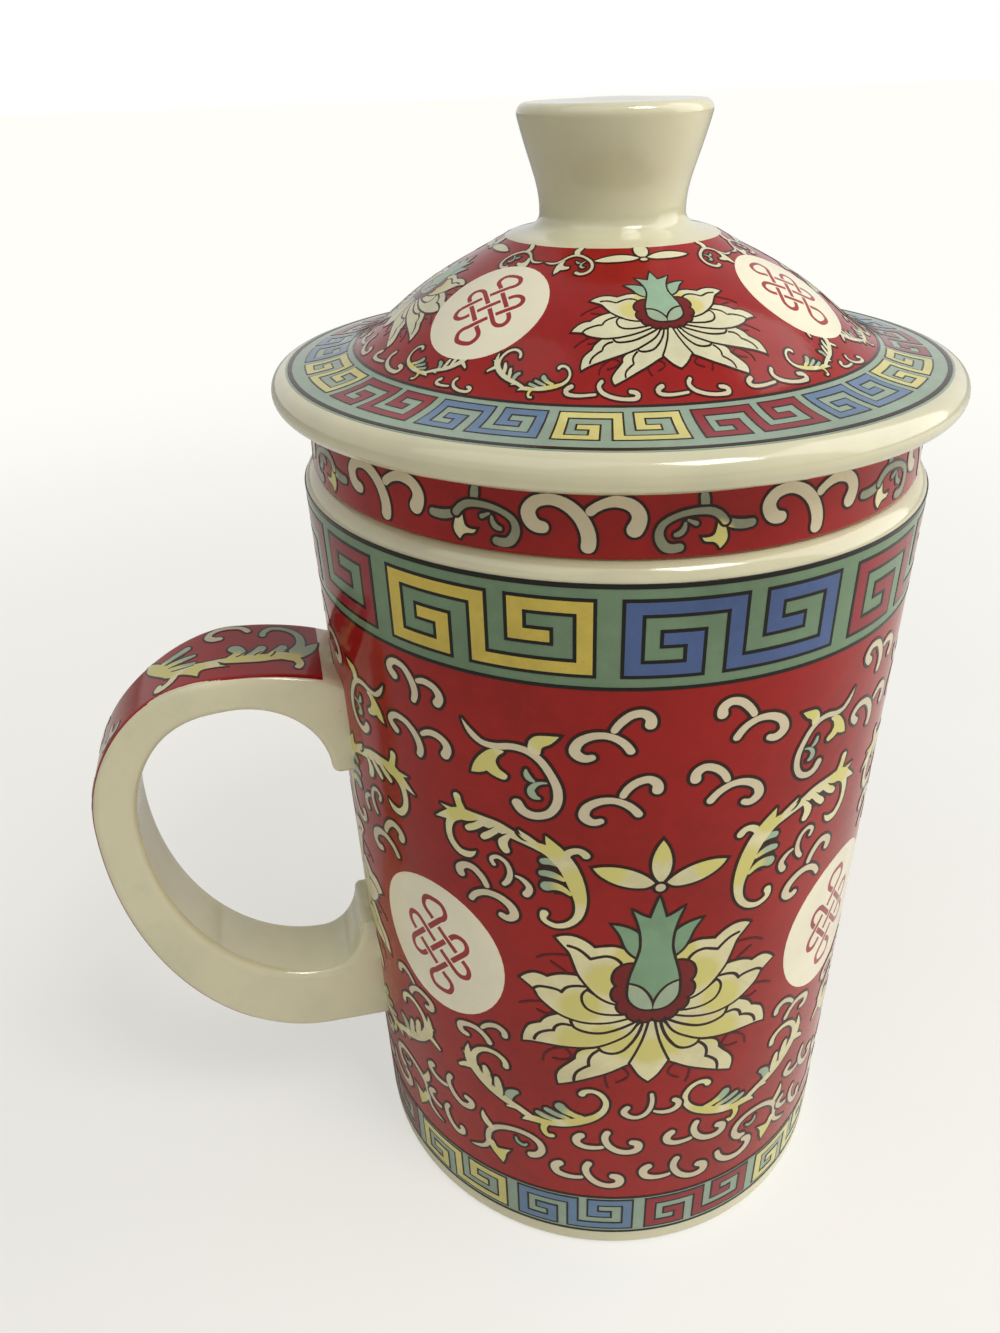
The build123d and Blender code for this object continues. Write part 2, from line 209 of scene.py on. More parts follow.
class MugColours(bpy.types.PropertyGroup):
    glaze: colour_property("Glaze", "Clear cream glaze over the porcelain", 224, 218, 182)
    red: colour_property("Red ground", "Ground enamel of the cup, the collar and the lid", 160, 22, 16)
    outline: colour_property("Outline", "Dark line of the cup's and the handle's patterns", 20, 18, 11)
    turquoise: colour_property("Turquoise", "Border ground at the cup's mouth", 116, 142, 111)
    yellow: colour_property("Key yellow", "Yellow units of the key pattern at the mouth", 212, 188, 85)
    blue: colour_property("Key blue", "Blue units of the key pattern at the mouth", 78, 99, 145)
    maroon: colour_property("Key red", "Red units of the key patterns", 150, 40, 48)
    cream: colour_property("Cream enamel", "Hooks and scrolls", 222, 208, 176)
    petal: colour_property("Petal yellow", "Warm heart of the petals and leaves", 222, 213, 128)
    pod: colour_property("Pod green", "Seed pod of the lotus", 130, 165, 131)
    calyx: colour_property("Calyx green", "Pale foot of the seed pod and green leaves", 168, 186, 156)
    heart: colour_property("Flower heart", "Dark scalloped ring round the pod", 120, 24, 22)
    blossom: colour_property("Blossom", "Petals and leaves on the cup", 230, 221, 174)
    mint: colour_property("Mint", "Seed pods on the lid", 157, 188, 158)
    ivory: colour_property("Ivory", "Petals on the lid", 226, 221, 184)
    # The collar's sprig green is the calyx green made duller, and darker as painted shade under the lid's
    # brim.
    sage: colour_property("Sage", "Sprigs on the infuser's collar", 150, 152, 126)
    brown: colour_property("Brown", "Thin line round the flowers, scrolls and hooks", 46, 20, 8)
    celadon: colour_property("Celadon", "Border ground on the lid and at the foot", 152, 172, 152)
    lemon: colour_property("Lemon", "Yellow units of the lid's and the foot's borders", 222, 212, 132)
    pale_blue: colour_property("Pale blue", "Blue units of the lid's and the foot's borders", 104, 132, 164)
    ghost: colour_property("Hidden petals", "Petal tips in dark red on the red ground", 84, 10, 10)
    roundel: colour_property("Medallion", "Pale ground of the medallions", 250, 243, 216)
    mark: colour_property("Medallion knot", "Red of the knots on the medallions", 165, 44, 50)


class MugSizes(bpy.types.PropertyGroup):
    ground_lift: length_property("Ground lift", "Height of the ground enamel over the glaze", 0.045)
    enamel_lift: length_property("Enamel lift", "Height of the painted enamel over the glaze", 0.09)
    enamel_sink: length_property("Enamel sink", "How far the enamel reaches into the glaze", 0.06)
    outline_width: length_property("Outline", "Width of the dark line round a painted form", 0.38)


# ---------------------------------------------------------------- drawing flat ornament

# The third entry of a point that is a sharp corner.
tip = "tip"

# A stroke's end with a radius under this stays square.
FINE_END = 0.12

# The least cosine that a corner's outline is lengthened by, and how near its points may come to the form.
BLUNTEST, NEAREST = 0.55, 0.93


def unit(vectors):
    return vectors / np.maximum(np.hypot(*vectors.T), 1e-9)[:, None]


def lengths_along(line):
    """The length of a line from its start to each of its points."""
    return np.concatenate([[0.0], np.cumsum(np.hypot(*np.diff(line, axis=0).T))])


def arc(centre, radii, start, end, count):
    """Points along an ellipse; a full turn ends just before its first point."""
    turns = np.radians(np.linspace(start, end, count, endpoint=abs(end - start) < 360))
    return np.stack([centre[0] + radii[0] * np.cos(turns), centre[1] + radii[1] * np.sin(turns)], 1)


def rotation(degrees):
    turn = math.radians(degrees)
    return np.array([[math.cos(turn), math.sin(turn)], [-math.sin(turn), math.cos(turn)]])


def counterclockwise(loop):
    x, y = loop[:, 0], loop[:, 1]
    area = np.sum(x * np.roll(y, -1) - np.roll(x, -1) * y)
    return loop if area > 0 else loop[::-1]


def through(points, closed=False, spacing=0.32):
    """Points spaced along a smooth curve through the given ones; every column is carried along."""
    given = np.array(points, float)
    if closed:
        given = np.vstack([given, given[:1]])
    gaps = np.maximum(np.hypot(*np.diff(given[:, :2], axis=0).T), 1e-6)
    clock = np.concatenate([[0.0], np.cumsum(np.sqrt(gaps))])
    steps = np.diff(clock)[:, None]
    slopes = np.diff(given, axis=0) / steps
    tangents = np.empty_like(given)
    tangents[1:-1] = (slopes[:-1] * steps[1:] + slopes[1:] * steps[:-1]) / (steps[1:] + steps[:-1])
    if closed:
        tangents[0] = (slopes[-1] * steps[0] + slopes[0] * steps[-1]) / (steps[0] + steps[-1])
        tangents[-1] = tangents[0]
    elif len(given) > 2:
        tangents[0] = 2 * slopes[0] - tangents[1]
        tangents[-1] = 2 * slopes[-1] - tangents[-2]
    else:
        tangents[:] = slopes[0]
    out = []
    for i, gap in enumerate(gaps):
        count = max(2, int(math.ceil(gap / spacing)))
        s = (np.arange(count) / count)[:, None]
        h = steps[i]
        out.append(
            (2 * s**3 - 3 * s**2 + 1) * given[i]
            + (s**3 - 2 * s**2 + s) * h * tangents[i]
            + (3 * s**2 - 2 * s**3) * given[i + 1]
            + (s**3 - s**2) * h * tangents[i + 1]
        )
    if not closed:
        out.append(given[-1:])
    return np.vstack(out)


def leaf_loop(points):
    """A closed outline through points; one that ends in "tip" is a sharp corner."""
    corners = [i for i, p in enumerate(points) if len(p) > 2]
    flat = [p[:2] for p in points]
    if not corners:
        return counterclockwise(through(flat, closed=True))
    runs = []
    for a, b in zip(corners, corners[1:] + [corners[0] + len(points)]):
        run = [flat[i % len(points)] for i in range(a, b + 1)]
        runs.append(through(run)[:-1])
    return counterclockwise(np.vstack(runs))


def stroke_loop(points, grow=0.0):
    """The outline of a brush stroke through (x, y, width) points, with round ends."""
    line = through(points)
    half = np.maximum(line[:, 2] / 2, 0.0) + grow
    centre = line[:, :2]
    along = unit(np.gradient(centre, axis=0))
    across = np.stack([-along[:, 1], along[:, 0]], 1)
    left = centre + across * half[:, None]
    right = centre - across * half[:, None]

    def cap(end, direction, side, radius):
        if radius < FINE_END:
            return np.empty((0, 2))
        turns = np.linspace(0, math.pi, 8)[1:-1, None]
        return end + radius * (np.cos(turns) * side + np.sin(turns) * direction)

    tail = cap(centre[-1], along[-1], across[-1], half[-1])
    head = cap(centre[0], -along[0], -across[0], half[0])
    return counterclockwise(np.vstack([left, tail, right[::-1], head]))


def grown(loop, distance):
    """The loop moved outward by a distance, without the points that fold over in its notches."""
    edge = np.roll(loop, -1, axis=0) - loop
    before, after = unit(loop - np.roll(loop, 1, axis=0)), unit(edge)
    out_before = np.stack([before[:, 1], -before[:, 0]], 1)
    out_after = np.stack([after[:, 1], -after[:, 0]], 1)
    mid = unit(out_before + out_after)
    reach = distance / np.maximum(np.sum(mid * out_after, axis=1), BLUNTEST)
    moved = loop + mid * reach[:, None]
    apart = moved[:, None] - loop[None]
    share = np.clip((apart * edge[None]).sum(2) / np.maximum(np.sum(edge * edge, axis=1), 1e-12), 0, 1)
    nearest = np.hypot(*np.moveaxis(apart - share[..., None] * edge[None], 2, 0)).min(1)
    return moved[nearest > distance * NEAREST]


def thinned(loop, tolerance=0.02, longest=2.5):
    """The loop without the points that lie on the straight line between their neighbours."""
    for _ in range(2):
        before = np.roll(loop, 1, axis=0)
        span, step = np.roll(loop, -1, axis=0) - before, loop - before
        length = np.maximum(np.hypot(*span.T), 1e-9)
        off = np.abs(span[:, 0] * step[:, 1] - span[:, 1] * step[:, 0]) / length
        spare = (off < tolerance) & (length < longest)
        spare[::2] = False
        loop = loop[~spare]
    return loop


def divided(loop, longest=1.1):
    """The loop with extra points on its long straight runs, so that they bend with the surface."""
    out = []
    for a, b in zip(loop, np.roll(loop, -1, axis=0)):
        count = max(1, int(math.ceil(math.hypot(*(b - a)) / longest)))
        out.append(a + (b - a) * (np.arange(count) / count)[:, None])
    return np.vstack(out)


def key_loop(corners, across, along):
    """The outline of a key-pattern stroke: upright parts are 'across' wide and level parts 'along' thick."""
    points = np.array(corners, float)
    steps = np.diff(points, axis=0)
    aside = []
    for i in range(len(points)):
        off = np.zeros(2)
        for step in steps[max(i - 1, 0) : i + 1]:
            if abs(step[0]) > abs(step[1]):
                off[1] = np.sign(step[0]) * along / 2
            else:
                off[0] = -np.sign(step[1]) * across / 2
        aside.append(off)
    return counterclockwise(np.vstack([points + aside, (points - aside)[::-1]]))


def surrounded(spots, loop):
    """Which of the spots a loop goes round."""
    a, b = loop[None], np.roll(loop, -1, axis=0)[None]
    turns = np.zeros(len(spots), int)
    for part in range(0, len(spots), 4000):
        p = spots[part : part + 4000, None]
        ahead, aside = b - a, p - a
        side = ahead[..., 0] * aside[..., 1] - aside[..., 0] * ahead[..., 1]
        up = (a[..., 1] <= p[..., 1]) & (b[..., 1] > p[..., 1]) & (side > 0)
        down = (a[..., 1] > p[..., 1]) & (b[..., 1] <= p[..., 1]) & (side < 0)
        turns[part : part + 4000] = up.sum(1) - down.sum(1)
    return turns != 0


def brushed(points, width):
    return [(x, y, width) for x, y in points]


def flipped(points):
    """Points moved to the other side of the flower's axis."""
    return [(-p[0], *p[1:]) for p in points]


def both_sides(points):
    return points + flipped(points)


def mirrored(points):
    """Points, followed by their mirror images in reverse order."""
    return points + flipped([p for p in reversed(points) if abs(p[0]) > 1e-6])


def is_stroke(points):
    """Whether every point has a brush width, which tells a stroke from a leaf's outline."""
    return all(len(p) == 3 and p[2] != tip for p in points)


class Motif:
    """A small drawing in layers, with the spots (x, y, radius) at which its yellow is warm."""

    def __init__(self, warm=()):
        self.layers = []
        self.warm = warm

    def layer(self, lines=(), **forms):
        """Adds strokes and leaves, listed by colour, over one dark outline, with dark lines on top."""
        self.layers.append(([(colour, points) for colour, group in forms.items() for points in group], lines))
        return self


class Tile:
    """One flat repeat of the ornament in millimetres, cut into a triangle mesh for each colour."""

    def __init__(self, width, low, high, grid=1.2, unroll=None, ink="outline"):
        self.width, self.low, self.high, self.grid = width, low, high, grid
        self.unroll = unroll or (lambda loop: loop)
        self.ink = ink
        self.paints = []
        self.warm = []

    def paint(self, colour, loop, repeat=True):
        """Adds a closed loop of a colour, which also shows where it reaches in from the next tiles."""
        self.paints.append((colour, divided(thinned(self.unroll(loop))), repeat))

    def place(self, motif, at=(0.0, 0.0), anchor=(0.0, 0.0), scale=(1.0, 1.0), mirror=False, orbit=0.0,
              line=None, weight=1.0, warm=None):
        """Scales a motif, puts its anchor at a point and swings it about the drawing's origin."""
        size = np.array(scale) * (-1.0 if mirror else 1.0, 1.0)
        shift = at - np.array(anchor) * size
        breadth = math.sqrt(abs(scale[0] * scale[1])) * weight
        line = line or bpy.context.scene.tea_mug_sizes.outline_width / MM

        def put(points):
            flat = (np.array([p[:2] for p in points], float).reshape(-1, 2) * size + shift) @ rotation(orbit)
            more = [(p[2] * breadth,) if len(p) > 2 and p[2] != tip else tuple(p[2:]) for p in points]
            return [tuple(q) + extra for q, extra in zip(flat, more)]

        for x, y, radius in put(motif.warm if warm is None else warm):
            self.warm.append((*self.unroll(np.array([(x, y)]))[0], radius))
        for forms, lines in motif.layers:
            drawn = []
            for colour, points in forms:
                points = put(points)
                if is_stroke(points):
                    loop, edge = stroke_loop(points), stroke_loop(points, line)
                else:
                    loop = leaf_loop(points)
                    edge = grown(loop, line)
                drawn.append((colour, loop))
                if colour != "ghost":
                    self.paint(self.ink, edge)
            for colour, loop in drawn:
                self.paint(colour, loop)
            for points in lines:
                self.paint(self.ink, stroke_loop(put(points)))

    def lattice(self, rows=None):
        """The numbers of columns and rows of the tile's grid, and its points column by column."""
        columns = max(2, int(round(self.width / self.grid)))
        rows = rows or max(2, int(round((self.high - self.low) / self.grid)))
        xs = np.linspace(-self.width / 2, self.width / 2, columns + 1)
        ys = np.linspace(self.low, self.high, rows + 1)
        return columns, rows, np.array([(x, y) for x in xs for y in ys])

    def plain(self, rows=None):
        """The bare tile as a grid of triangles."""
        columns, rows, points = self.lattice(rows)
        corner = (np.arange(columns)[:, None] * (rows + 1) + np.arange(rows)).ravel()
        right = corner + rows + 1
        lower = np.stack([corner, right, right + 1], 1)
        return points, np.vstack([lower, np.stack([corner, right + 1, corner + 1], 1)])

    def cut(self):
        """Returns {colour: (points, triangles)}, with the colour painted last on top."""
        half = self.width / 2
        columns, rows, grid = self.lattice()
        stride = rows + 1
        edges = []
        for i in range(columns):
            edges += [(i * stride, (i + 1) * stride), (i * stride + rows, (i + 1) * stride + rows)]
        for j in range(rows):
            edges += [(j, j + 1), (columns * stride + j, columns * stride + j + 1)]
        points, offset, placed = [grid], len(grid), []
        for colour, loop, repeat in self.paints:
            for shift in (-self.width, 0.0, self.width) if repeat else (0.0,):
                moved = loop + (shift, 0)
                low, high = moved.min(0), moved.max(0)
                if high[0] < -half or low[0] > half:
                    continue
                placed.append((colour, moved, low, high))
                points.append(moved)
                count = len(moved)
                edges += [(offset + i, offset + (i + 1) % count) for i in range(count)]
                offset += count
        mesh = delaunay_2d_cdt([Vector(p) for p in np.vstack(points)], edges, [], 0, 1e-4, False)
        spots, triangles = np.array([tuple(p) for p in mesh[0]]), np.array(mesh[2])
        middles = spots[triangles].mean(1)
        kept = (np.abs(middles[:, 0]) < half) & (middles[:, 1] > self.low) & (middles[:, 1] < self.high)
        triangles, middles = triangles[kept], middles[kept]
        names = [None] + sorted({colour for colour, *_ in placed})
        label = np.zeros(len(triangles), int)
        for colour, loop, low, high in placed:
            near = np.nonzero(np.all((middles >= low) & (middles <= high), axis=1))[0]
            label[near[surrounded(middles[near], loop)]] = names.index(colour)
        cuts = {}
        for index, name in enumerate(names):
            if name and np.any(label == index):
                used, corners = np.unique(triangles[label == index], return_inverse=True)
                cuts[name] = (spots[used], corners.reshape(-1, 3))
        return cuts


# ---------------------------------------------------------------- the ornament's motifs
# Points are millimetres from the flower's axis and over the foot; a third number is the brush's width there,
# and "tip" marks a sharp corner.

# The left half of the lotus, from the back petal to the front one, each with the contours drawn on it.
LOTUS_PETALS = [
    ([(-11.7, 33.5, tip), (-11.9, 34.6), (-11.8, 35.5), (-11.25, 36.5), (-10.0, 37.95), (-9.4, 38.7, tip),
      (-9.2, 39.8), (-8.4, 40.5), (-6.7, 41.0), (-4.0, 42.8), (-1.0, 46.0), (-0.1, 47.4, tip),
      (-0.45, 45.1), (-0.85, 43.2), (-1.2, 41.4), (-1.8, 39.6), (-2.4, 38.4, tip), (-3.4, 37.8),
      (-5.3, 36.55), (-7.5, 35.45), (-9.7, 34.35)],
     [[(-9.7, 34.5), (-9.4, 36.05), (-8.4, 37.15), (-7.75, 37.6)],
      [(-7.75, 37.6), (-7.75, 38.9), (-7.35, 39.8), (-6.6, 40.6)],
      [(-6.5, 41.0), (-6.1, 40.45), (-5.0, 40.1), (-3.75, 40.45), (-2.65, 41.7), (-1.7, 43.55),
       (-1.15, 45.6)]]),
    ([(-16.4, 40.3, tip), (-16.3, 41.4), (-15.6, 43.2), (-14.7, 43.9), (-13.9, 44.3, tip), (-13.3, 45.3),
      (-12.3, 46.05), (-11.25, 46.5), (-8.0, 46.6), (-4.0, 46.8), (-1.7, 46.6, tip), (-2.2, 45.1),
      (-3.1, 43.7), (-4.7, 42.5), (-6.6, 41.5), (-8.75, 41.0), (-11.25, 40.8), (-13.5, 40.75),
      (-15.0, 40.65)],
     [[(-14.9, 41.0), (-14.4, 42.15), (-13.4, 42.95), (-12.3, 43.35)],
      [(-12.3, 43.35), (-12.0, 44.2), (-11.25, 44.75), (-10.2, 44.75)],
      [(-10.1, 46.0), (-10.0, 45.1), (-9.6, 44.4), (-8.1, 43.8), (-6.25, 43.8), (-4.4, 44.5), (-2.8, 45.4),
       (-1.9, 46.1)]]),
    ([(-16.4, 51.6, tip), (-15.5, 52.5), (-14.4, 52.95), (-13.0, 52.6, tip), (-11.9, 53.25), (-10.6, 53.55),
      (-9.2, 53.5), (-6.0, 52.5), (-3.0, 50.0, tip), (-2.5, 47.0, tip), (-3.4, 46.55), (-5.6, 45.85),
      (-8.1, 45.65), (-10.0, 46.0), (-11.6, 46.7), (-13.0, 47.8), (-14.1, 49.0), (-14.5, 49.95),
      (-15.3, 50.75)],
     [[(-14.8, 50.2), (-14.1, 50.75), (-13.0, 50.9), (-11.7, 50.75), (-11.25, 50.45)],
      [(-11.25, 50.45), (-10.6, 51.4), (-9.7, 51.8), (-8.4, 51.9)]]),
    ([(-8.1, 51.1, tip), (-8.55, 50.3), (-8.5, 49.2), (-8.0, 48.25), (-6.9, 47.6), (-5.3, 47.35),
      (-3.2, 47.5, tip), (-3.6, 48.9, tip), (-5.0, 49.2), (-6.4, 49.8), (-7.6, 50.7)], []),
    ([(-11.8, 59.6, tip), (-10.9, 60.05), (-9.7, 60.1), (-8.4, 59.5), (-7.3, 58.45, tip), (-6.25, 58.7),
      (-5.0, 58.8), (-3.6, 58.25), (-2.6, 57.2), (-2.3, 56.1, tip), (-2.6, 53.0), (-3.0, 49.0, tip),
      (-4.1, 49.1), (-5.3, 49.45), (-6.7, 50.4), (-8.0, 52.0), (-9.1, 53.9), (-9.7, 55.75), (-10.25, 57.5),
      (-11.25, 58.8)],
     [[(-10.4, 58.5), (-9.2, 58.1), (-8.3, 57.3), (-7.75, 56.65)],
      [(-7.75, 56.65), (-7.0, 56.95), (-5.8, 57.25), (-4.7, 56.85), (-4.0, 55.9)]]),
]
LOTUS_MIDDLE = mirrored([(0.0, 34.75, tip), (-1.1, 35.9), (-1.9, 37.3), (-2.4, 38.35, tip), (-1.8, 39.8),
                         (-0.95, 42.3), (-0.4, 44.8), (0.0, 47.4, tip)])
LOTUS_HEART = mirrored([(0.0, 46.7, tip), (-0.5, 46.0), (-1.2, 46.0), (-1.55, 46.6, tip), (-2.2, 46.25),
                        (-2.9, 46.8), (-3.15, 47.6, tip), (-3.9, 47.7), (-4.35, 48.5), (-4.1, 49.5, tip),
                        (-4.8, 49.9), (-5.05, 50.8), (-4.85, 51.7), (-4.35, 52.2, tip), (-4.9, 53.0),
                        (-4.95, 54.0), (-4.5, 55.1), (-3.6, 55.8), (-2.5, 55.95, tip), (0.0, 55.5, tip)])
LOTUS_POD = mirrored([(0.0, 66.5, tip), (-0.45, 64.9), (-0.85, 63.3, tip), (-1.7, 63.7), (-2.9, 64.6, tip),
                      (-2.3, 62.8), (-1.85, 60.6), (-1.8, 58.5), (-2.2, 56.5), (-2.8, 54.2), (-3.1, 52.2),
                      (-3.05, 50.4), (-2.4, 49.0), (-1.3, 48.2), (0.0, 48.0)])
LOTUS_LEAF = [(-5.2, 62.35, tip), (-4.3, 60.75), (-3.8, 59.2), (-3.2, 58.0), (-2.2, 57.0, tip),
              (-1.5, 59.5), (-2.4, 61.1), (-3.75, 62.0)]
LOTUS_LOBE = [(-3.05, 52.45, tip), (-3.1, 51.2), (-3.0, 50.1), (-2.4, 49.0), (-1.3, 48.2),
              (-0.05, 48.1, tip), (-0.25, 49.3), (-0.9, 50.8), (-1.8, 51.9)]
LOTUS_WARM = [(5.7, 53.3, 3.4), (3.4, 57.4, 2.2), (9.0, 48.2, 3.4), (9.5, 42.0, 3.2), (5.6, 43.0, 3.0),
              (2.8, 41.6, 3.0), (0.0, 40.4, 3.0), (7.6, 49.6, 1.4)]
CONTOUR_WIDTH, GHOST_WIDTH = 0.46, 0.34


def lotus():
    motif = Motif(warm=both_sides(LOTUS_WARM))
    for petal, contours in LOTUS_PETALS:
        lines = [brushed(contour, CONTOUR_WIDTH) for contour in contours]
        motif.layer(petal=[petal, flipped(petal)], lines=lines + [flipped(line) for line in lines])
        if petal is LOTUS_PETALS[0][0]:
            motif.layer(petal=[LOTUS_MIDDLE])
    motif.layer(heart=[LOTUS_HEART])
    motif.layer(pod=[LOTUS_LEAF, flipped(LOTUS_LEAF)])
    motif.layer(pod=[LOTUS_POD])
    return motif.layer(calyx=[LOTUS_LOBE, flipped(LOTUS_LOBE)])


LOTUS = lotus()

# Tips of hidden petals, drawn in dark red on the red ground.
GHOST_TIPS = [
    [(-14.2, 55.7), (-13.1, 56.4), (-11.9, 56.75), (-10.0, 56.7), (-9.4, 54.4), (-10.2, 53.7),
     (-11.25, 54.5), (-12.5, 55.4)],
    [(-16.7, 47.0), (-15.6, 47.6), (-14.4, 48.0), (-13.1, 48.2), (-12.2, 47.0), (-13.0, 46.2),
     (-14.4, 46.5)],
    [(-13.8, 37.4), (-13.4, 38.9), (-12.5, 39.8), (-11.0, 40.4), (-10.0, 39.0), (-10.6, 38.3),
     (-12.4, 38.1)],
    [(-5.2, 33.6), (-5.6, 35.1), (-5.5, 36.4), (-3.6, 37.4), (-2.6, 36.0), (-4.1, 34.6)],
]
GHOSTS = [brushed(points, GHOST_WIDTH) for points in GHOST_TIPS]
GHOST_PETALS = Motif().layer(ghost=[side for ghost in GHOSTS for side in (ghost, flipped(ghost))])

BUD_PETAL = [(-7.6, 71.1, tip), (-5.9, 71.4), (-4.05, 71.15), (-2.2, 70.3), (-0.7, 68.9, tip),
             (-1.6, 68.25), (-3.4, 68.3), (-5.3, 68.95), (-6.9, 70.1)]
BUD_TOP = mirrored([(0.0, 75.2, tip), (-0.8, 73.6), (-1.12, 71.8), (-0.85, 70.1), (0.0, 68.8, tip)])
BUD = Motif(warm=both_sides([(5.6, 70.6, 2.4), (0.0, 73.6, 2.2)])).layer(
    petal=[BUD_PETAL, flipped(BUD_PETAL), BUD_TOP],
).layer(
    cream=[arc((0.0, 68.1), (0.6, 0.6), 0, 360, 8)],
)

# The leafy scroll at the left of the bud.
HIGH_ACANTHUS = Motif(warm=[(-9.2, 68.0, 3.6), (-12.2, 73.8, 2.2), (-23.2, 75.6, 2.6)]).layer(
    calyx=[
        [(-11.2, 70.9, 0.5), (-12.3, 71.4, 0.9), (-13.2, 71.35, 0.9)],
        [(-10.9, 68.9, 0.5), (-12.3, 69.5, 0.95), (-13.4, 69.5, 0.8)],
        [(-10.2, 66.8, 0.5), (-11.5, 67.7, 1.0), (-12.9, 67.6, 1.4)],
    ],
    petal=[
        [(-13.2, 63.25, 1.0), (-13.25, 62.2, 0.7), (-12.0, 61.5, 0.72), (-10.5, 61.9, 0.8),
         (-9.35, 63.2, 0.95), (-8.95, 65.3, 1.3), (-9.4, 68.0, 1.9), (-10.4, 70.8, 2.1), (-11.7, 72.9, 1.9),
         (-12.9, 75.2, 0.0)],
        [(-10.9, 72.0, 1.0), (-10.2, 73.2, 0.9), (-9.2, 73.5, 0.85), (-8.4, 72.9, 0.95)],
        [(-26.8, 73.6, 0.0), (-25.2, 74.4, 1.1), (-23.5, 75.3, 1.7), (-21.0, 75.4, 1.5), (-18.5, 75.1, 1.5),
         (-16.3, 74.3, 1.1), (-14.3, 73.6, 1.0), (-12.6, 73.0, 1.5), (-11.3, 71.9, 2.0)],
        [(-23.3, 74.9, 0.9), (-24.6, 73.9, 1.0), (-25.0, 72.2, 0.85), (-24.7, 70.7, 0.85),
         (-23.6, 69.5, 0.95), (-22.4, 69.5, 0.9), (-21.4, 70.4, 0.0)],
        [(-22.8, 75.6, 1.3), (-23.3, 77.0, 0.9), (-23.5, 77.9, 0.95)],
        [(-23.6, 75.3, 1.1), (-25.9, 75.8, 0.0)],
        [(-20.4, 75.1, 0.9), (-21.6, 74.1, 1.0), (-22.3, 73.6, 0.8)],
        [(-18.6, 74.7, 0.9), (-19.7, 73.6, 1.0), (-20.3, 73.0, 0.8)],
        [(-17.2, 74.3, 0.8), (-17.9, 73.0, 1.15), (-17.6, 71.9, 1.0)],
        [(-16.0, 75.4, 0.0), (-15.0, 74.4, 0.8), (-13.9, 73.6, 0.8)],
    ],
    lines=[
        [(-20.9, 75.3, 0.0), (-21.7, 74.7, 0.3), (-22.8, 74.3, 0.36)],
        [(-18.8, 75.0, 0.0), (-19.8, 74.2, 0.3), (-20.9, 73.5, 0.4)],
        [(-17.2, 74.5, 0.0), (-18.1, 73.9, 0.3), (-19.0, 72.9, 0.4)],
        [(-14.9, 73.9, 0.0), (-15.6, 74.1, 0.3), (-16.3, 74.9, 0.36)],
        [(-11.0, 69.9, 0.0), (-12.0, 70.3, 0.3), (-13.6, 70.5, 0.36)],
        [(-10.5, 67.9, 0.0), (-11.6, 68.5, 0.3), (-13.4, 68.6, 0.36)],
        [(-9.9, 66.3, 0.0), (-10.8, 66.7, 0.3), (-11.9, 66.7, 0.36)],
    ],
)

# The leafy scroll under the medallion.
LOW_ACANTHUS = Motif(warm=[(-8.5, 26.8, 3.2), (-13.8, 24.2, 2.4)]).layer(
    calyx=[
        [(-8.6, 27.3, 0.7), (-10.3, 27.8, 1.1), (-11.6, 28.9, 1.4)],
        [(-10.4, 26.7, 0.5), (-12.0, 27.2, 0.9), (-13.5, 27.8, 0.7)],
        [(-12.0, 26.0, 0.5), (-13.5, 26.3, 0.9), (-14.7, 26.75, 0.7)],
        [(-18.9, 27.4, 0.8), (-18.7, 28.7, 1.3), (-17.7, 29.5, 0.7)],
    ],
    petal=[
        [(-20.2, 27.9, 0.9), (-20.4, 29.4, 1.2), (-20.6, 30.8, 0.7)],
        [(-22.0, 29.0, 0.9), (-22.1, 30.6, 1.3), (-22.4, 32.0, 0.8)],
        [(-8.6, 32.0, 0.95), (-8.2, 32.5, 0.8), (-7.2, 32.7, 0.65), (-6.1, 32.1, 0.7), (-5.4, 30.7, 0.75),
         (-5.6, 29.2, 0.85), (-6.6, 27.8, 1.0), (-8.4, 26.7, 1.3), (-11.0, 25.7, 1.4), (-13.6, 25.2, 1.2),
         (-15.8, 25.1, 1.1), (-17.0, 24.4, 0.0)],
        [(-15.4, 25.1, 1.0), (-17.3, 26.3, 1.0), (-19.6, 27.3, 1.2), (-21.8, 28.6, 1.4), (-23.6, 30.3, 1.5),
         (-24.9, 32.4, 1.5), (-24.9, 35.2, 0.0)],
        [(-19.1, 33.9, 0.9), (-19.3, 34.9, 0.8), (-20.3, 35.7, 0.7), (-21.8, 35.8, 0.7), (-23.2, 35.0, 0.8),
         (-24.1, 33.6, 0.9), (-24.2, 31.8, 1.1)],
        [(-23.9, 31.2, 1.2), (-25.2, 30.9, 1.0), (-26.7, 30.0, 0.5)],
        [(-24.6, 32.3, 1.0), (-26.0, 33.2, 0.0)],
        [(-17.4, 26.5, 0.8), (-19.2, 26.1, 0.3)],
        [(-13.6, 24.9, 1.0), (-13.9, 23.5, 0.8), (-13.4, 22.6, 0.7), (-12.7, 22.6, 0.7)],
    ],
    lines=[
        [(-9.6, 27.1, 0.0), (-11.0, 27.4, 0.3), (-12.6, 28.0, 0.36)],
        [(-11.2, 26.4, 0.0), (-12.6, 26.6, 0.3), (-14.2, 27.2, 0.36)],
        [(-12.6, 25.7, 0.0), (-14.0, 25.8, 0.3), (-15.2, 26.2, 0.36)],
        [(-19.9, 27.5, 0.0), (-19.6, 28.6, 0.3), (-19.8, 30.0, 0.36)],
        [(-21.6, 28.6, 0.0), (-21.2, 29.8, 0.3), (-21.5, 31.0, 0.36)],
    ],
)

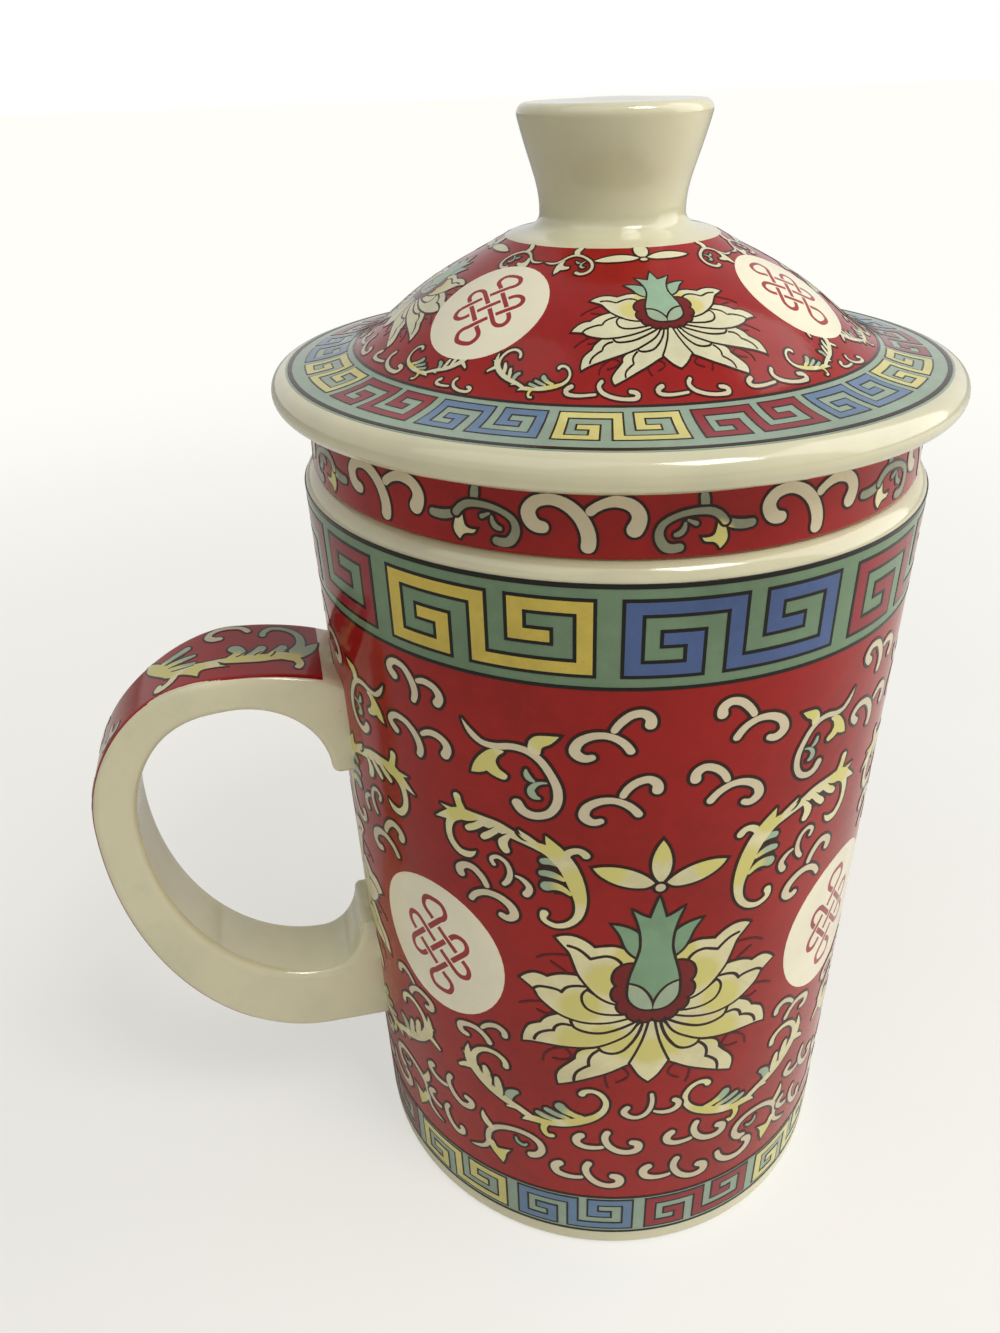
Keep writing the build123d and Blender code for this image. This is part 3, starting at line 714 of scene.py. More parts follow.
# A curl with a bud and a leaf, beside the upper hooks.
HIGH_SPRIG = Motif(warm=[(-19.6, 84.0, 3.2), (-12.8, 88.6, 2.0)]).layer(
    calyx=[
        [(-14.9, 84.2, 0.3), (-14.7, 83.3, 0.75), (-14.1, 82.8, 0.4)],
        [(-12.6, 82.8, 0.2), (-13.7, 82.5, 0.5), (-14.4, 81.6, 0.8), (-14.2, 80.8, 0.9), (-13.5, 80.5, 0.3)],
    ],
    cream=[
        [(-16.0, 79.3, 1.25), (-15.2, 78.2, 1.15), (-14.0, 77.9, 1.05), (-12.5, 78.5, 1.0),
         (-11.6, 80.0, 1.0), (-11.5, 82.0, 1.0), (-12.2, 84.0, 0.9), (-13.4, 85.9, 0.9), (-14.8, 86.9, 0.9),
         (-16.5, 87.1, 0.85), (-18.2, 86.7, 0.85), (-19.8, 86.8, 0.75), (-21.0, 87.7, 0.75),
         (-22.1, 89.4, 0.0)],
    ],
    petal=[
        [(-18.7, 86.2), (-20.0, 85.1), (-20.9, 83.7), (-21.3, 82.3, tip), (-20.3, 82.5), (-19.4, 83.0, tip),
         (-18.3, 82.4), (-17.3, 82.3), (-17.0, 82.9), (-17.9, 83.6), (-18.3, 84.5), (-18.0, 85.4),
         (-17.3, 86.2)],
        [(-14.5, 86.9), (-14.5, 88.2), (-13.8, 89.0), (-12.6, 89.25), (-11.3, 89.3, tip), (-12.2, 88.2),
         (-13.1, 87.6), (-13.4, 86.6)],
    ],
)

# The same curl lying under the medallion, by the lower border.
LOW_SPRIG = Motif(warm=[(-20.6, 15.0, 2.2)]).layer(
    calyx=[[(-18.1, 20.0, 0.3), (-17.8, 19.2, 0.5), (-17.0, 18.9, 0.5), (-16.5, 19.3, 0.3)]],
    cream=[
        [(-15.9, 17.35, 1.1), (-14.8, 17.9, 1.05), (-14.25, 19.0, 1.05), (-14.6, 20.3, 1.0),
         (-15.7, 21.2, 0.85), (-17.3, 21.6, 0.8), (-19.2, 21.4, 0.8), (-21.0, 20.6, 0.85),
         (-22.3, 19.2, 0.85), (-22.7, 17.5, 0.9), (-22.7, 16.4, 0.8), (-23.3, 15.3, 0.65),
         (-24.5, 14.5, 0.55), (-25.9, 14.1, 0.0)],
    ],
    petal=[
        [(-22.7, 17.0), (-22.3, 15.6), (-21.5, 14.5), (-20.4, 13.4, tip), (-20.0, 14.5), (-19.9, 15.3),
         (-19.1, 16.7, tip), (-20.2, 16.3), (-21.2, 16.1), (-21.9, 17.2)],
        [(-22.0, 20.1, 0.9), (-23.0, 21.2, 1.1), (-23.3, 22.8, 0.0)],
    ],
)

# The collar's sprig, right of its double hook.
COLLAR_SPRIG = Motif(warm=[(11.4, 112.8, 2.0)]).layer(
    calyx=[
        [(9.9, 115.5, 0.5), (9.8, 116.4, 0.9), (9.7, 117.2, 0.8)],
        [(12.0, 114.2, 0.8), (13.5, 113.7, 1.0), (14.9, 113.7, 0.9)],
    ],
).layer(
    petal=[
        [(11.4, 114.8), (12.1, 113.5), (12.3, 112.3), (11.6, 111.3, tip), (11.0, 112.0), (10.0, 112.2),
         (9.7, 112.6, tip), (10.9, 112.8), (11.2, 113.7)],
    ],
).layer(
    calyx=[
        [(7.4, 111.7, 0.9), (6.0, 111.8, 1.0), (5.3, 113.0, 0.9), (5.6, 114.2, 0.7), (7.0, 115.1, 0.6),
         (9.0, 115.5, 0.7), (10.8, 115.3, 0.8), (12.0, 114.2, 0.8)],
    ],
    pod=[
        [(7.9, 114.3, 0.3), (7.6, 113.4, 0.6), (7.0, 113.1, 0.5)],
        [(8.2, 114.6, 0.3), (9.0, 114.2, 0.5)],
    ],
)

# One leafy scroll along the strap; x runs out from the wall and y towards the drinker's left.
STRAP_SCROLL = Motif(warm=[(22.8, 0.4, 3.0), (24.6, -2.6, 2.2), (18.6, 3.6, 2.4), (9.0, 2.8, 2.6),
                           (13.0, 3.0, 2.6), (5.6, 2.8, 2.0)]).layer(
    cream=[
        [(11.5, -5.2, 0.9), (12.3, -6.2, 0.8), (13.7, -6.6, 0.8), (15.2, -6.5, 0.8), (16.5, -5.8, 0.9),
         (16.8, -4.8, 1.0), (16.2, -4.0, 1.1), (15.3, -3.8, 1.0)],
    ],
).layer(
    calyx=[
        [(9.5, -3.7, 0.8), (9.3, -4.7, 0.8), (8.5, -5.6, 0.8), (7.2, -5.8, 0.8), (5.7, -5.2, 0.9),
         (4.7, -4.0, 1.0), (4.4, -2.4, 1.1), (4.6, -0.8, 1.3), (5.4, 0.8, 1.5)],
        [(2.1, -2.2, tip), (3.3, -1.4), (4.6, 0.0), (6.2, 1.4), (6.0, 3.0), (4.5, 2.3), (3.3, 1.0),
         (2.5, -0.5)],
        [(6.9, -0.2, 1.2), (7.5, 0.8, 1.3), (8.6, 2.2, 1.2)],
        [(9.7, 0.0, 1.2), (10.3, 1.0, 1.3), (11.4, 2.3, 1.2)],
        [(13.2, -0.2, 1.8), (12.6, 0.9, 1.6), (13.6, 2.3, 1.4)],
        [(18.6, 1.3, 0.5), (20.2, 0.95, 0.9), (21.8, 0.4, 0.9)],
        [(18.7, -0.8, 0.6), (20.4, -0.8, 1.0), (22.6, -1.0, 1.0)],
        [(19.8, -3.4, 1.2), (21.2, -2.9, 1.1), (23.4, -2.4, 1.0)],
    ],
    petal=[
        [(6.4, 2.2, 1.3), (5.2, 3.0, 1.3), (4.8, 4.0, 1.0), (5.1, 5.0, 0.9)],
        [(4.8, 2.2), (6.4, 1.2), (9.0, 1.7), (12.0, 1.9), (15.0, 2.1), (17.6, 1.9), (20.0, 1.2),
         (22.4, 0.0), (23.0, 1.4), (21.6, 2.7), (20.4, 3.0), (19.2, 4.0), (18.0, 5.2, tip), (17.6, 3.9),
         (16.2, 3.9), (14.3, 4.2, tip), (15.2, 3.3), (13.0, 3.6), (10.0, 3.7), (7.2, 3.1), (5.6, 3.4)],
        [(25.8, -5.2, tip), (26.0, -3.2), (24.9, -1.2), (23.6, 0.6), (22.5, 1.9), (21.4, 2.6), (20.4, 2.4),
         (21.4, 0.5), (22.6, -1.3), (23.8, -3.0), (24.9, -4.3)],
        [(21.2, 2.4, 1.2), (21.8, 3.6, 1.1), (22.8, 4.2, 1.1), (23.7, 4.0, 1.2), (23.6, 3.4, 0.9)],
    ],
    lines=[
        [(8.6, 2.4, 0.2), (8.1, 1.6, 0.28), (7.9, 0.9, 0.2)],
        [(10.7, 2.0, 0.2), (10.3, 1.5, 0.3), (9.6, 0.9, 0.2)],
        [(13.1, 2.1, 0.2), (12.5, 1.7, 0.3), (11.8, 0.9, 0.2)],
        [(15.4, 2.8, 0.2), (14.8, 3.3, 0.3), (14.2, 3.7, 0.2)],
        [(21.9, 0.9, 0.2), (20.4, 1.5, 0.3), (18.6, 1.8, 0.2)],
        [(22.4, -0.4, 0.2), (21.0, -0.2, 0.3), (19.2, -0.2, 0.2)],
        [(23.0, -1.8, 0.2), (21.6, -1.9, 0.3), (20.0, -2.2, 0.2)],
    ],
)

# Brush hooks, alone or in pairs that meet, such as the cream strokes round the flowers.
HOOKS = {kind: Motif().layer(cream=strokes) for kind, strokes in {
    "upper": [
        [(-7.9, 86.9, 0.8), (-8.9, 86.75, 1.1), (-9.7, 87.5, 1.2), (-9.3, 88.8, 1.05), (-8.0, 89.7, 0.95),
         (-6.4, 89.85, 0.85), (-5.0, 89.2, 0.9), (-4.0, 87.9, 0.95)],
        [(-5.7, 90.6, 0.8), (-5.0, 91.7, 0.9), (-4.0, 92.6, 0.95), (-2.9, 92.8, 1.0), (-2.15, 92.2, 1.1),
         (-2.1, 91.3, 1.2)],
    ],
    "inner": [
        [(-6.9, 78.1, 0.8), (-7.8, 77.9, 1.0), (-8.65, 78.6, 1.2), (-8.4, 79.9, 1.05), (-7.0, 80.9, 0.95),
         (-5.4, 81.05, 0.85), (-4.0, 80.4, 0.9), (-2.9, 79.2, 0.95)],
        [(-4.6, 81.8, 0.8), (-4.0, 82.9, 0.9), (-3.0, 83.75, 0.95), (-1.9, 84.0, 1.0), (-1.1, 83.4, 1.1),
         (-1.0, 82.5, 1.2)],
    ],
    "small": [
        [(-19.2, 69.2, 0.55), (-19.45, 70.0, 0.55), (-18.7, 70.5, 0.55), (-17.7, 70.0, 0.55),
         (-17.2, 68.7, 0.65), (-17.4, 67.4, 0.75), (-18.0, 66.5, 0.6)],
        [(-16.5, 68.2, 0.3), (-15.6, 67.8, 0.6), (-14.9, 66.8, 0.8), (-15.3, 65.7, 0.95)],
    ],
    "shoulder": [
        [(-23.75, 66.0, 1.1), (-23.9, 66.7, 1.1), (-23.2, 67.5, 0.95), (-22.1, 67.6, 0.95),
         (-21.0, 66.7, 0.9), (-20.3, 65.4, 0.8)],
        [(-22.5, 62.5, 0.8), (-21.7, 63.6, 0.85), (-20.3, 64.3, 0.9), (-18.6, 64.1, 1.0),
         (-17.2, 63.0, 1.1), (-16.9, 61.8, 1.15), (-17.6, 61.1, 1.0), (-18.5, 61.3, 0.9)],
    ],
    "hip": [
        [(-22.4, 39.7, 0.5), (-21.4, 40.7, 0.7), (-20.2, 41.1, 0.8), (-19.2, 40.6, 0.9), (-19.0, 39.8, 0.9)],
        [(-24.9, 37.0, 0.7), (-25.9, 37.3, 1.0), (-26.0, 38.3, 0.95), (-24.8, 39.0, 0.8),
         (-23.3, 39.1, 0.8), (-22.1, 38.4, 0.8), (-21.4, 37.4, 0.9)],
    ],
    "stem": [
        [(-2.5, 29.6, 0.8), (-2.95, 28.7, 0.9), (-2.3, 27.9, 0.75), (-1.2, 27.6, 0.65), (-0.1, 28.1, 0.65),
         (0.6, 29.3, 0.65), (0.8, 30.8, 0.6), (0.65, 32.0, 0.5)],
        [(1.2, 28.6, 0.4), (2.4, 28.2, 0.65), (3.6, 28.3, 0.75), (4.4, 28.9, 0.85), (4.5, 29.7, 0.85),
         (3.9, 30.3, 0.75)],
    ],
    "row": [
        [(-8.7, 23.6, 1.1), (-9.3, 22.9, 1.15), (-9.2, 22.0, 1.0), (-8.3, 21.4, 0.85), (-7.0, 21.3, 0.75),
         (-5.8, 21.5, 0.65)],
        [(-5.1, 24.5, 0.95), (-5.4, 23.4, 0.95), (-4.9, 21.9, 0.95), (-3.6, 20.8, 0.95), (-2.0, 20.5, 0.95),
         (-0.85, 21.0, 1.1), (-0.75, 22.0, 1.15), (-1.6, 22.5, 0.95)],
    ],
    "foot": [
        [(-11.7, 17.1, 1.15), (-12.4, 16.3, 1.25), (-12.1, 15.2, 1.05), (-11.0, 14.7, 0.9),
         (-9.8, 14.6, 0.75), (-8.6, 14.8, 0.65)],
        [(-7.6, 17.8, 1.05), (-8.0, 16.5, 1.0), (-7.4, 14.9, 0.95), (-6.1, 13.7, 0.95), (-4.5, 13.3, 0.95),
         (-3.2, 13.8, 1.15), (-3.2, 14.9, 1.25), (-4.1, 15.4, 1.05)],
    ],
    "crest": [
        [(-2.6, 91.8, 1.1), (-3.3, 92.8, 0.95), (-2.6, 93.7, 0.85), (-1.1, 93.6, 0.85), (0.0, 92.3, 0.95),
         (0.45, 90.8, 0.95), (0.15, 89.5, 0.75)],
        [(1.0, 92.4, 0.6), (2.0, 92.7, 0.85), (3.3, 92.3, 0.9), (3.9, 91.3, 1.0), (3.5, 90.3, 1.1)],
    ],
    "brow": [
        [(-3.3, 83.8, 0.95), (-4.2, 85.0, 0.85), (-3.3, 85.9, 0.85), (-1.6, 85.8, 0.85), (-0.2, 84.6, 0.95),
         (0.45, 83.0, 1.0), (0.25, 81.9, 0.9)],
        [(0.95, 85.1, 0.6), (2.4, 85.8, 0.85), (3.8, 85.4, 0.95), (4.4, 84.5, 1.05), (4.0, 83.3, 1.15)],
    ],
    "root": [
        [(-3.9, 25.4, 0.95), (-4.6, 24.6, 1.0), (-3.9, 23.6, 0.85), (-2.4, 23.1, 0.75), (-1.2, 23.3, 0.6)],
        [(-0.2, 25.9, 0.85), (-0.7, 24.6, 0.85), (0.0, 22.8, 0.9), (1.6, 21.6, 0.9), (3.1, 22.0, 1.0),
         (3.5, 23.0, 1.0), (2.6, 23.5, 0.85)],
    ],
    "toe": [
        [(-4.4, 19.4, 0.8), (-5.3, 18.5, 0.9), (-4.5, 17.4, 0.8), (-3.2, 17.1, 0.65)],
        [(-1.3, 18.9, 0.75), (-1.8, 18.0, 0.8), (-1.2, 15.9, 0.85), (0.2, 14.7, 0.85), (1.2, 15.1, 0.95),
         (1.2, 16.0, 0.9)],
    ],
    "low": [
        [(11.6, 16.3, 0.85), (12.2, 14.9, 0.95), (13.8, 13.8, 1.0), (15.8, 13.7, 1.0), (17.2, 14.7, 1.15),
         (17.2, 15.9, 1.15), (16.3, 16.4, 0.9)],
    ],
    "collar": [
        [(-6.3, 113.75, 1.3), (-7.3, 114.1, 1.5), (-7.8, 115.3, 1.5), (-7.1, 116.4, 1.3),
         (-5.5, 116.8, 1.2), (-3.9, 116.3, 1.3), (-2.5, 115.0, 1.4), (-1.7, 113.2, 1.5), (-1.7, 111.9, 1.5)],
        [(-1.5, 115.7, 1.0), (-0.5, 116.4, 1.0), (1.0, 116.8, 1.2), (2.6, 116.3, 1.3), (3.3, 115.2, 1.5),
         (2.9, 113.8, 1.7)],
    ],
    "strap": [
        [(-2.2, 1.6, 0.8), (-1.4, 2.4, 0.8), (-0.2, 2.2, 0.9), (0.5, 1.0, 1.0), (0.3, -0.4, 1.0)],
        [(0.6, 1.7, 0.7), (1.6, 2.4, 0.8), (2.7, 2.0, 0.9), (3.1, 0.9, 1.0)],
    ],
}.items()}


def endless_knot(width=0.72, gap=0.26):
    """A woven lattice knot with looped edges: (colour, stroke) pairs in the order of painting."""
    pitch, reach = 2.5, 3.75
    bulge = [
        (-pitch, reach), (-pitch + 0.35, reach + 1.0), (-pitch / 2, reach + 1.45),
        (-0.35, reach + 1.0), (0.0, reach),
    ]
    corner = [
        (pitch, reach), (pitch + 0.15, reach + 1.5), (pitch + 1.5, reach + 2.0),
        (reach + 2.0, pitch + 1.5), (reach + 1.5, pitch + 0.15), (reach, pitch),
    ]
    forms = []
    for sign in (-1, 1):
        for loop in (bulge, [(y, x) for x, y in bulge], corner):
            forms.append(("mark", [(sign * x, sign * y, width) for x, y in loop]))
    rows = (-pitch, 0.0, pitch)
    for row in rows:
        forms.append(("mark", [(row, -reach, width), (row, reach, width)]))
        forms.append(("mark", [(-reach, row, width), (reach, row, width)]))
    aside, half = width / 2 + gap / 2, width / 2 + gap
    for i, x in enumerate(rows):
        for j, y in enumerate(rows):
            for sign in (-1, 1):
                ends = ((-half, sign * aside), (half, sign * aside))
                if (i + j) % 2:
                    ends = ((sign * aside, -half), (sign * aside, half))
                forms.append(("roundel", [(x + dx, y + dy, gap) for dx, dy in ends]))
    return forms


# ---------------------------------------------------------------- lines that the enamel follows


def polyline_curve(name, points):
    """A curve object in the XZ plane through (radius, height) points."""
    data = bpy.data.curves.new(name, "CURVE")
    data.dimensions = "3D"
    spline = data.splines.new("POLY")
    spline.points.add(len(points) - 1)
    for point, (radius, height) in zip(spline.points, points):
        point.co = (radius * MM, 0.0, height * MM, 1.0)
    curve = bpy.data.objects.new(name, data)
    bpy.context.scene.collection.objects.link(curve)
    return curve


def cup_profile():
    heights = np.linspace(0.0, CUP_TOP, 40)
    return np.stack([FOOT_RADIUS + CUP_FLARE * heights / CUP_TOP, heights], 1)


def collar_profile():
    """The collar's outer line, from the round at its foot up to its top."""
    centre = (COLLAR_RADIUS - COLLAR_ROUND, CUP_TOP + COLLAR_ROUND)
    foot = arc(centre, (COLLAR_ROUND, COLLAR_ROUND), -60, 0, 8)
    return np.vstack([foot, [(COLLAR_RADIUS, COLLAR_TOP)]])


# Radii and heights a little below the lid's outer surface, which tell it from the inside, and the least
# distance between the points of its line.
LID_FLOOR = ((12.8, 17.7, 25.0, 33.4, 41.0), (136.3, 133.6, 129.1, 123.1, 121.67))
LID_STEP = 0.15


class LidLine:
    """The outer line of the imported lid, from its widest ring up to the knob, and the lengths along it."""

    def __init__(self):
        points = np.array([v.co for v in frame["nodes"]["lid_dome"].data.vertices]) / MM
        points = points[(np.abs(points[:, 1]) < 1e-4) & (points[:, 0] > AXIS_X)]
        radius, height = points[:, 0] - AXIS_X, points[:, 2]
        outer = (height > np.interp(radius, *LID_FLOOR)) & (radius < BRIM_RADIUS + LID_STEP)
        line = np.unique(np.round(np.stack([radius[outer], height[outer]], 1), 4), axis=0)[::-1]
        kept = list(arc((BRIM_RADIUS, BRIM_HEIGHT), (BRIM_ROUND, BRIM_ROUND), 0, 80, 12))
        for point in line:
            if np.hypot(*(point - kept[-1])) > LID_STEP:
                kept.append(point)
        self.points = through(kept, spacing=0.35)
        self.lengths = lengths_along(self.points)

    def length_at(self, radius):
        return np.interp(radius, self.points[::-1, 0], self.lengths[::-1])

    def unroll(self, loop):
        """Turns a drawing seen from above into lengths round and up the lid."""
        angle = np.arctan2(loop[:, 0], -loop[:, 1])
        return np.stack([angle * LID_WRAP, self.length_at(np.hypot(loop[:, 0], loop[:, 1]))], 1)


# The handle's outer line: its crown, the height at which it is farthest out, and its base.
CROWN_RADIUS, CROWN_HEIGHT, CROWN_SPREAD = 52.0, 86.0, 30.0
REACH, WAIST_HEIGHT = 72.5, 64.0
BASE_RADIUS, BASE_HEIGHT, BASE_END = 44.0, 22.4, 36.0

# Half the strap's width over its crown, by radius, and below it.
NARROW = 5.5
CROWN_WIDTH = ((50.5, 52.5, 54.5, 56.5, 62.0, 64.0, 66.0), (8.0, 7.97, 7.77, 7.3, 6.0, 5.65, NARROW))
EDGE_ROUNDING = 1.1


class StrapLine:
    """The handle's outer line, out from the cup's wall, over the crown and round the reach to its base."""

    def __init__(self):
        crown, base = (CROWN_RADIUS, WAIST_HEIGHT), (BASE_RADIUS, WAIST_HEIGHT)
        rise = CROWN_HEIGHT - WAIST_HEIGHT
        runs = [
            arc(crown, (CROWN_SPREAD, rise), 117, 90, 30),
            arc(crown, (REACH - CROWN_RADIUS, rise), 90, 0, 60),
            arc(base, (REACH - BASE_RADIUS, WAIST_HEIGHT - BASE_HEIGHT), 360, 270, 70),
            np.stack([np.linspace(BASE_RADIUS, BASE_END, 20), np.full(20, BASE_HEIGHT)], 1),
        ]
        self.points = np.vstack([runs[0]] + [run[1:] for run in runs[1:]])
        self.lengths = lengths_along(self.points)

    def half_width(self, along):
        """Half the strap's width at a length along it: broad over the crown and narrow from the reach on."""
        radius, height = (np.interp(along, self.lengths, column) for column in self.points.T)
        return np.where(height > WAIST_HEIGHT, np.interp(radius, *CROWN_WIDTH), NARROW)

    def drop(self, along, across):
        """How far the strap's outer face lies below its middle line, and the slope there."""
        inner = np.maximum(np.abs(across) - (self.half_width(along) - EDGE_ROUNDING), 0.0)
        inner = np.minimum(inner, EDGE_ROUNDING * 0.999)
        root = np.sqrt(EDGE_ROUNDING**2 - inner**2)
        return EDGE_ROUNDING - root, np.clip(np.sign(across) * inner / root, -6.0, 6.0)


# ---------------------------------------------------------------- geometry nodes


class WrapTree(Tree):
    """A Geometry Nodes group that lays a flat tile on a surface: x and y along it, z out of it."""

    def __init__(self, name, line, sockets):
        self.group = bpy.data.node_groups.new(name, "GeometryNodeTree")
        super().__init__(self.group)
        named = [
            ("Geometry", "Geometry", None), (line, "Object", None), *sockets, ("Material", "Material", None)
        ]
        for title, kind, default in named:
            socket = self.group.interface.new_socket(title, in_out="INPUT", socket_type="NodeSocket" + kind)
            if default is not None:
                socket.default_value = default
        self.group.interface.new_socket("Geometry", in_out="OUTPUT", socket_type="NodeSocketGeometry")
        self.given = self.node("NodeGroupInput").output
        self.curve = self.node("GeometryNodeObjectInfo", inputs={"Object": self.given(line)}, out="Geometry")

    def on_line(self, length):
        """The x and z of the line at a length along it, and of its outward normal there."""
        inputs = {"Curves": self.curve, "Length": length}
        spot = self.node("GeometryNodeSampleCurve", {"mode": "LENGTH"}, inputs, out="Position")
        x, _, z = self.apart(spot)
        along_x, _, along_z = self.apart(spot.output("Tangent"))
        return x, z, along_z, 0.0 - along_x

    def stored(self, name):
        settings = {"data_type": "FLOAT"}
        return self.node("GeometryNodeInputNamedAttribute", settings, {"Name": name}, out="Attribute")

    def store(self, geometry, name, value, kind, domain):
        settings = {"data_type": kind, "domain": domain}
        inputs = {"Geometry": geometry, "Name": name, "Value": value}
        return self.node("GeometryNodeStoreNamedAttribute", settings, inputs)

    def end(self, geometry, facing, target, weld=None):
        """Moves the points to their places, notes which way the surface faces there and paints it."""
        marked = self.store(geometry, "outward", facing, "FLOAT_VECTOR", "POINT")
        laid = self.node("GeometryNodeSetPosition", inputs={"Geometry": marked, "Position": target})
        if weld:
            laid = self.node("GeometryNodeMergeByDistance", inputs={"Geometry": laid, "Distance": weld})
        real = self.node("GeometryNodeRealizeInstances", inputs={"Geometry": laid})
        inputs = {"Geometry": real, "Material": self.given("Material")}
        self.node("NodeGroupOutput", inputs={0: self.node("GeometryNodeSetMaterial", inputs=inputs)})
        return self.group


@functools.cache
def ring_tree():
    """Copies a flat tile round an axis and lays it on a turned profile."""
    t = WrapTree("Painted ring", "Profile", [
        ("Copies", "Int", 1), ("Step", "Float", 0.0), ("Phase", "Float", 0.0), ("Wrap Radius", "Float", 0.03),
        ("Axis Offset", "Float", 0.0),
    ])
    row = t.node("GeometryNodeMeshLine", inputs={"Count": t.given("Copies"), "Offset": (0.0, 0.0, 0.0)})
    copies = t.node("GeometryNodeInstanceOnPoints", inputs={"Points": row, "Instance": t.given("Geometry")})
    number = t.node("GeometryNodeInputIndex")
    turned = t.store(copies, "turn", number * t.given("Step") + t.given("Phase"), "FLOAT", "INSTANCE")
    flat = t.node("GeometryNodeRealizeInstances", inputs={"Geometry": turned})
    along, up, lift = t.apart(t.node("GeometryNodeInputPosition"))
    radius, height, out_radial, out_height = t.on_line(up)
    angle = t.stored("turn") + along / t.given("Wrap Radius")
    cosine, sine = t.math("COSINE", angle), t.math("SINE", angle)
    facing = t.vector(out_radial * cosine, out_radial * sine, out_height)
    radius = radius + lift * out_radial
    target = t.vector(t.given("Axis Offset") + radius * cosine, radius * sine, height + lift * out_height)
    return t.end(flat, facing, target, weld=2e-6)


@functools.cache
def strap_tree():
    """Lays a flat tile on the crowned outer face of a strap that follows a path."""
    t = WrapTree("Painted strap", "Path", [("Start", "Float", 0.0)])
    along, across, lift = t.apart(t.node("GeometryNodeInputPosition"))
    x, z, out_x, out_z = t.on_line(along + t.given("Start"))
    drop, lean = t.stored("drop"), t.stored("lean")
    size = t.math("SQRT", lean * lean + 1.0)
    facing = t.vector(out_x / size, 0.0 - lean / size, out_z / size)
    rise = lift / size - drop
    target = t.vector(x + rise * out_x, 0.0 - (across + lift * lean / size), z + rise * out_z)
    return t.end(t.given("Geometry"), facing, target)


def write(mesh, name, values, domain="POINT"):
    mesh.attributes.new(name, "FLOAT", domain).data.foreach_set("value", values)


def read(items, name, kind=float, columns=1):
    """A property of each item of a mesh, as rows of one or more columns."""
    values = np.empty(len(items) * columns, kind)
    items.foreach_get(name, values)
    return values.reshape(-1, columns) if columns > 1 else values


def slab(name, points, triangles, lift, sink, half=None, warm=()):
    """A thin closed sheet over flat triangles; its sides on the tile's seams stay open for the next copy."""
    count = len(points)
    top = np.column_stack([points, np.full(count, lift)]) * MM
    base = np.column_stack([points, np.full(count, -sink)]) * MM
    pairs = np.vstack([triangles[:, [0, 1]], triangles[:, [1, 2]], triangles[:, [2, 0]]])
    _, index, times = np.unique(np.sort(pairs, axis=1), axis=0, return_inverse=True, return_counts=True)
    rim = pairs[times[index.ravel()] == 1]
    if half is not None:
        rim = rim[~np.all(np.abs(np.abs(points[rim][:, :, 0]) - half) < 1e-5, axis=1)]
    walls = np.column_stack([rim[:, 1], rim[:, 0], rim[:, 0] + count, rim[:, 1] + count])
    faces = triangles.tolist() + (triangles[:, ::-1] + count).tolist() + walls.tolist()
    mesh = bpy.data.meshes.new(name)
    mesh.from_pydata(np.vstack([top, base]).tolist(), [], faces)
    side = np.repeat([1.0, -1.0, 0.0], [len(triangles), len(triangles), len(walls)])
    write(mesh, "side", side, "FACE")
    heat = np.zeros(count)
    for x, y, radius in warm:
        apart = np.hypot(points[:, 0] - x, points[:, 1] - y) / radius
        heat = np.maximum(heat, np.clip(1.0 - apart * apart, 0.0, 1.0))
    write(mesh, "warmth", np.tile(heat, 2))
    mesh.update()
    return mesh


def wrapped(mesh, tree, settings):
    """The plain mesh that a tree makes of a flat one."""
    source = bpy.data.objects.new("flat", mesh)
    bpy.context.scene.collection.objects.link(source)
    modifier = source.modifiers.new("Wrap", "NODES")
    modifier.node_group = tree
    for socket in tree.interface.items_tree:
        if socket.in_out == "INPUT" and socket.name in settings:
            modifier[socket.identifier] = settings[socket.name]
    graph = bpy.context.evaluated_depsgraph_get()
    result = bpy.data.meshes.new_from_object(
        source.evaluated_get(graph), preserve_all_data_layers=True, depsgraph=graph
    )
    source.modifiers.clear()
    bpy.data.objects.remove(source)
    bpy.data.meshes.remove(mesh)
    return result


def enamelled(name, layers, material, body):
    """One piece of enamel from its wrapped layers, with the surface's own normals."""
    joined = bmesh.new()
    for layer in layers:
        joined.from_mesh(layer)
        bpy.data.meshes.remove(layer)
    mesh = bpy.data.meshes.new(name)
    joined.to_mesh(mesh)
    joined.free()
    mesh.materials.append(material)
    piece = bpy.data.objects.new(name, mesh)
    bpy.context.scene.collection.objects.link(piece)
    faces = len(mesh.polygons)
    if not faces:
        raise RuntimeError(f"{name} came out empty")
    mesh.polygons.foreach_set("material_index", np.zeros(faces, np.int32))
    sizes = read(mesh.polygons, "loop_total", np.int32)
    side = np.repeat(read(mesh.attributes["side"].data, "value"), sizes)
    outward = read(mesh.attributes["outward"].data, "vector", columns=3)
    normals = outward[read(mesh.loops, "vertex_index", np.int32)] * np.sign(side)[:, None]
    wall = np.abs(side) < 0.5
    normals[wall] = np.repeat(read(mesh.polygons, "normal", columns=3), sizes, axis=0)[wall]
    mesh.polygons.foreach_set("use_smooth", np.ones(faces, bool))
    mesh.normals_split_custom_set(normals.tolist())
    for spare in ("side", "outward", "turn"):
        if spare in mesh.attributes:
            mesh.attributes.remove(mesh.attributes[spare])
    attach(piece, body)


# ---------------------------------------------------------------- tiles


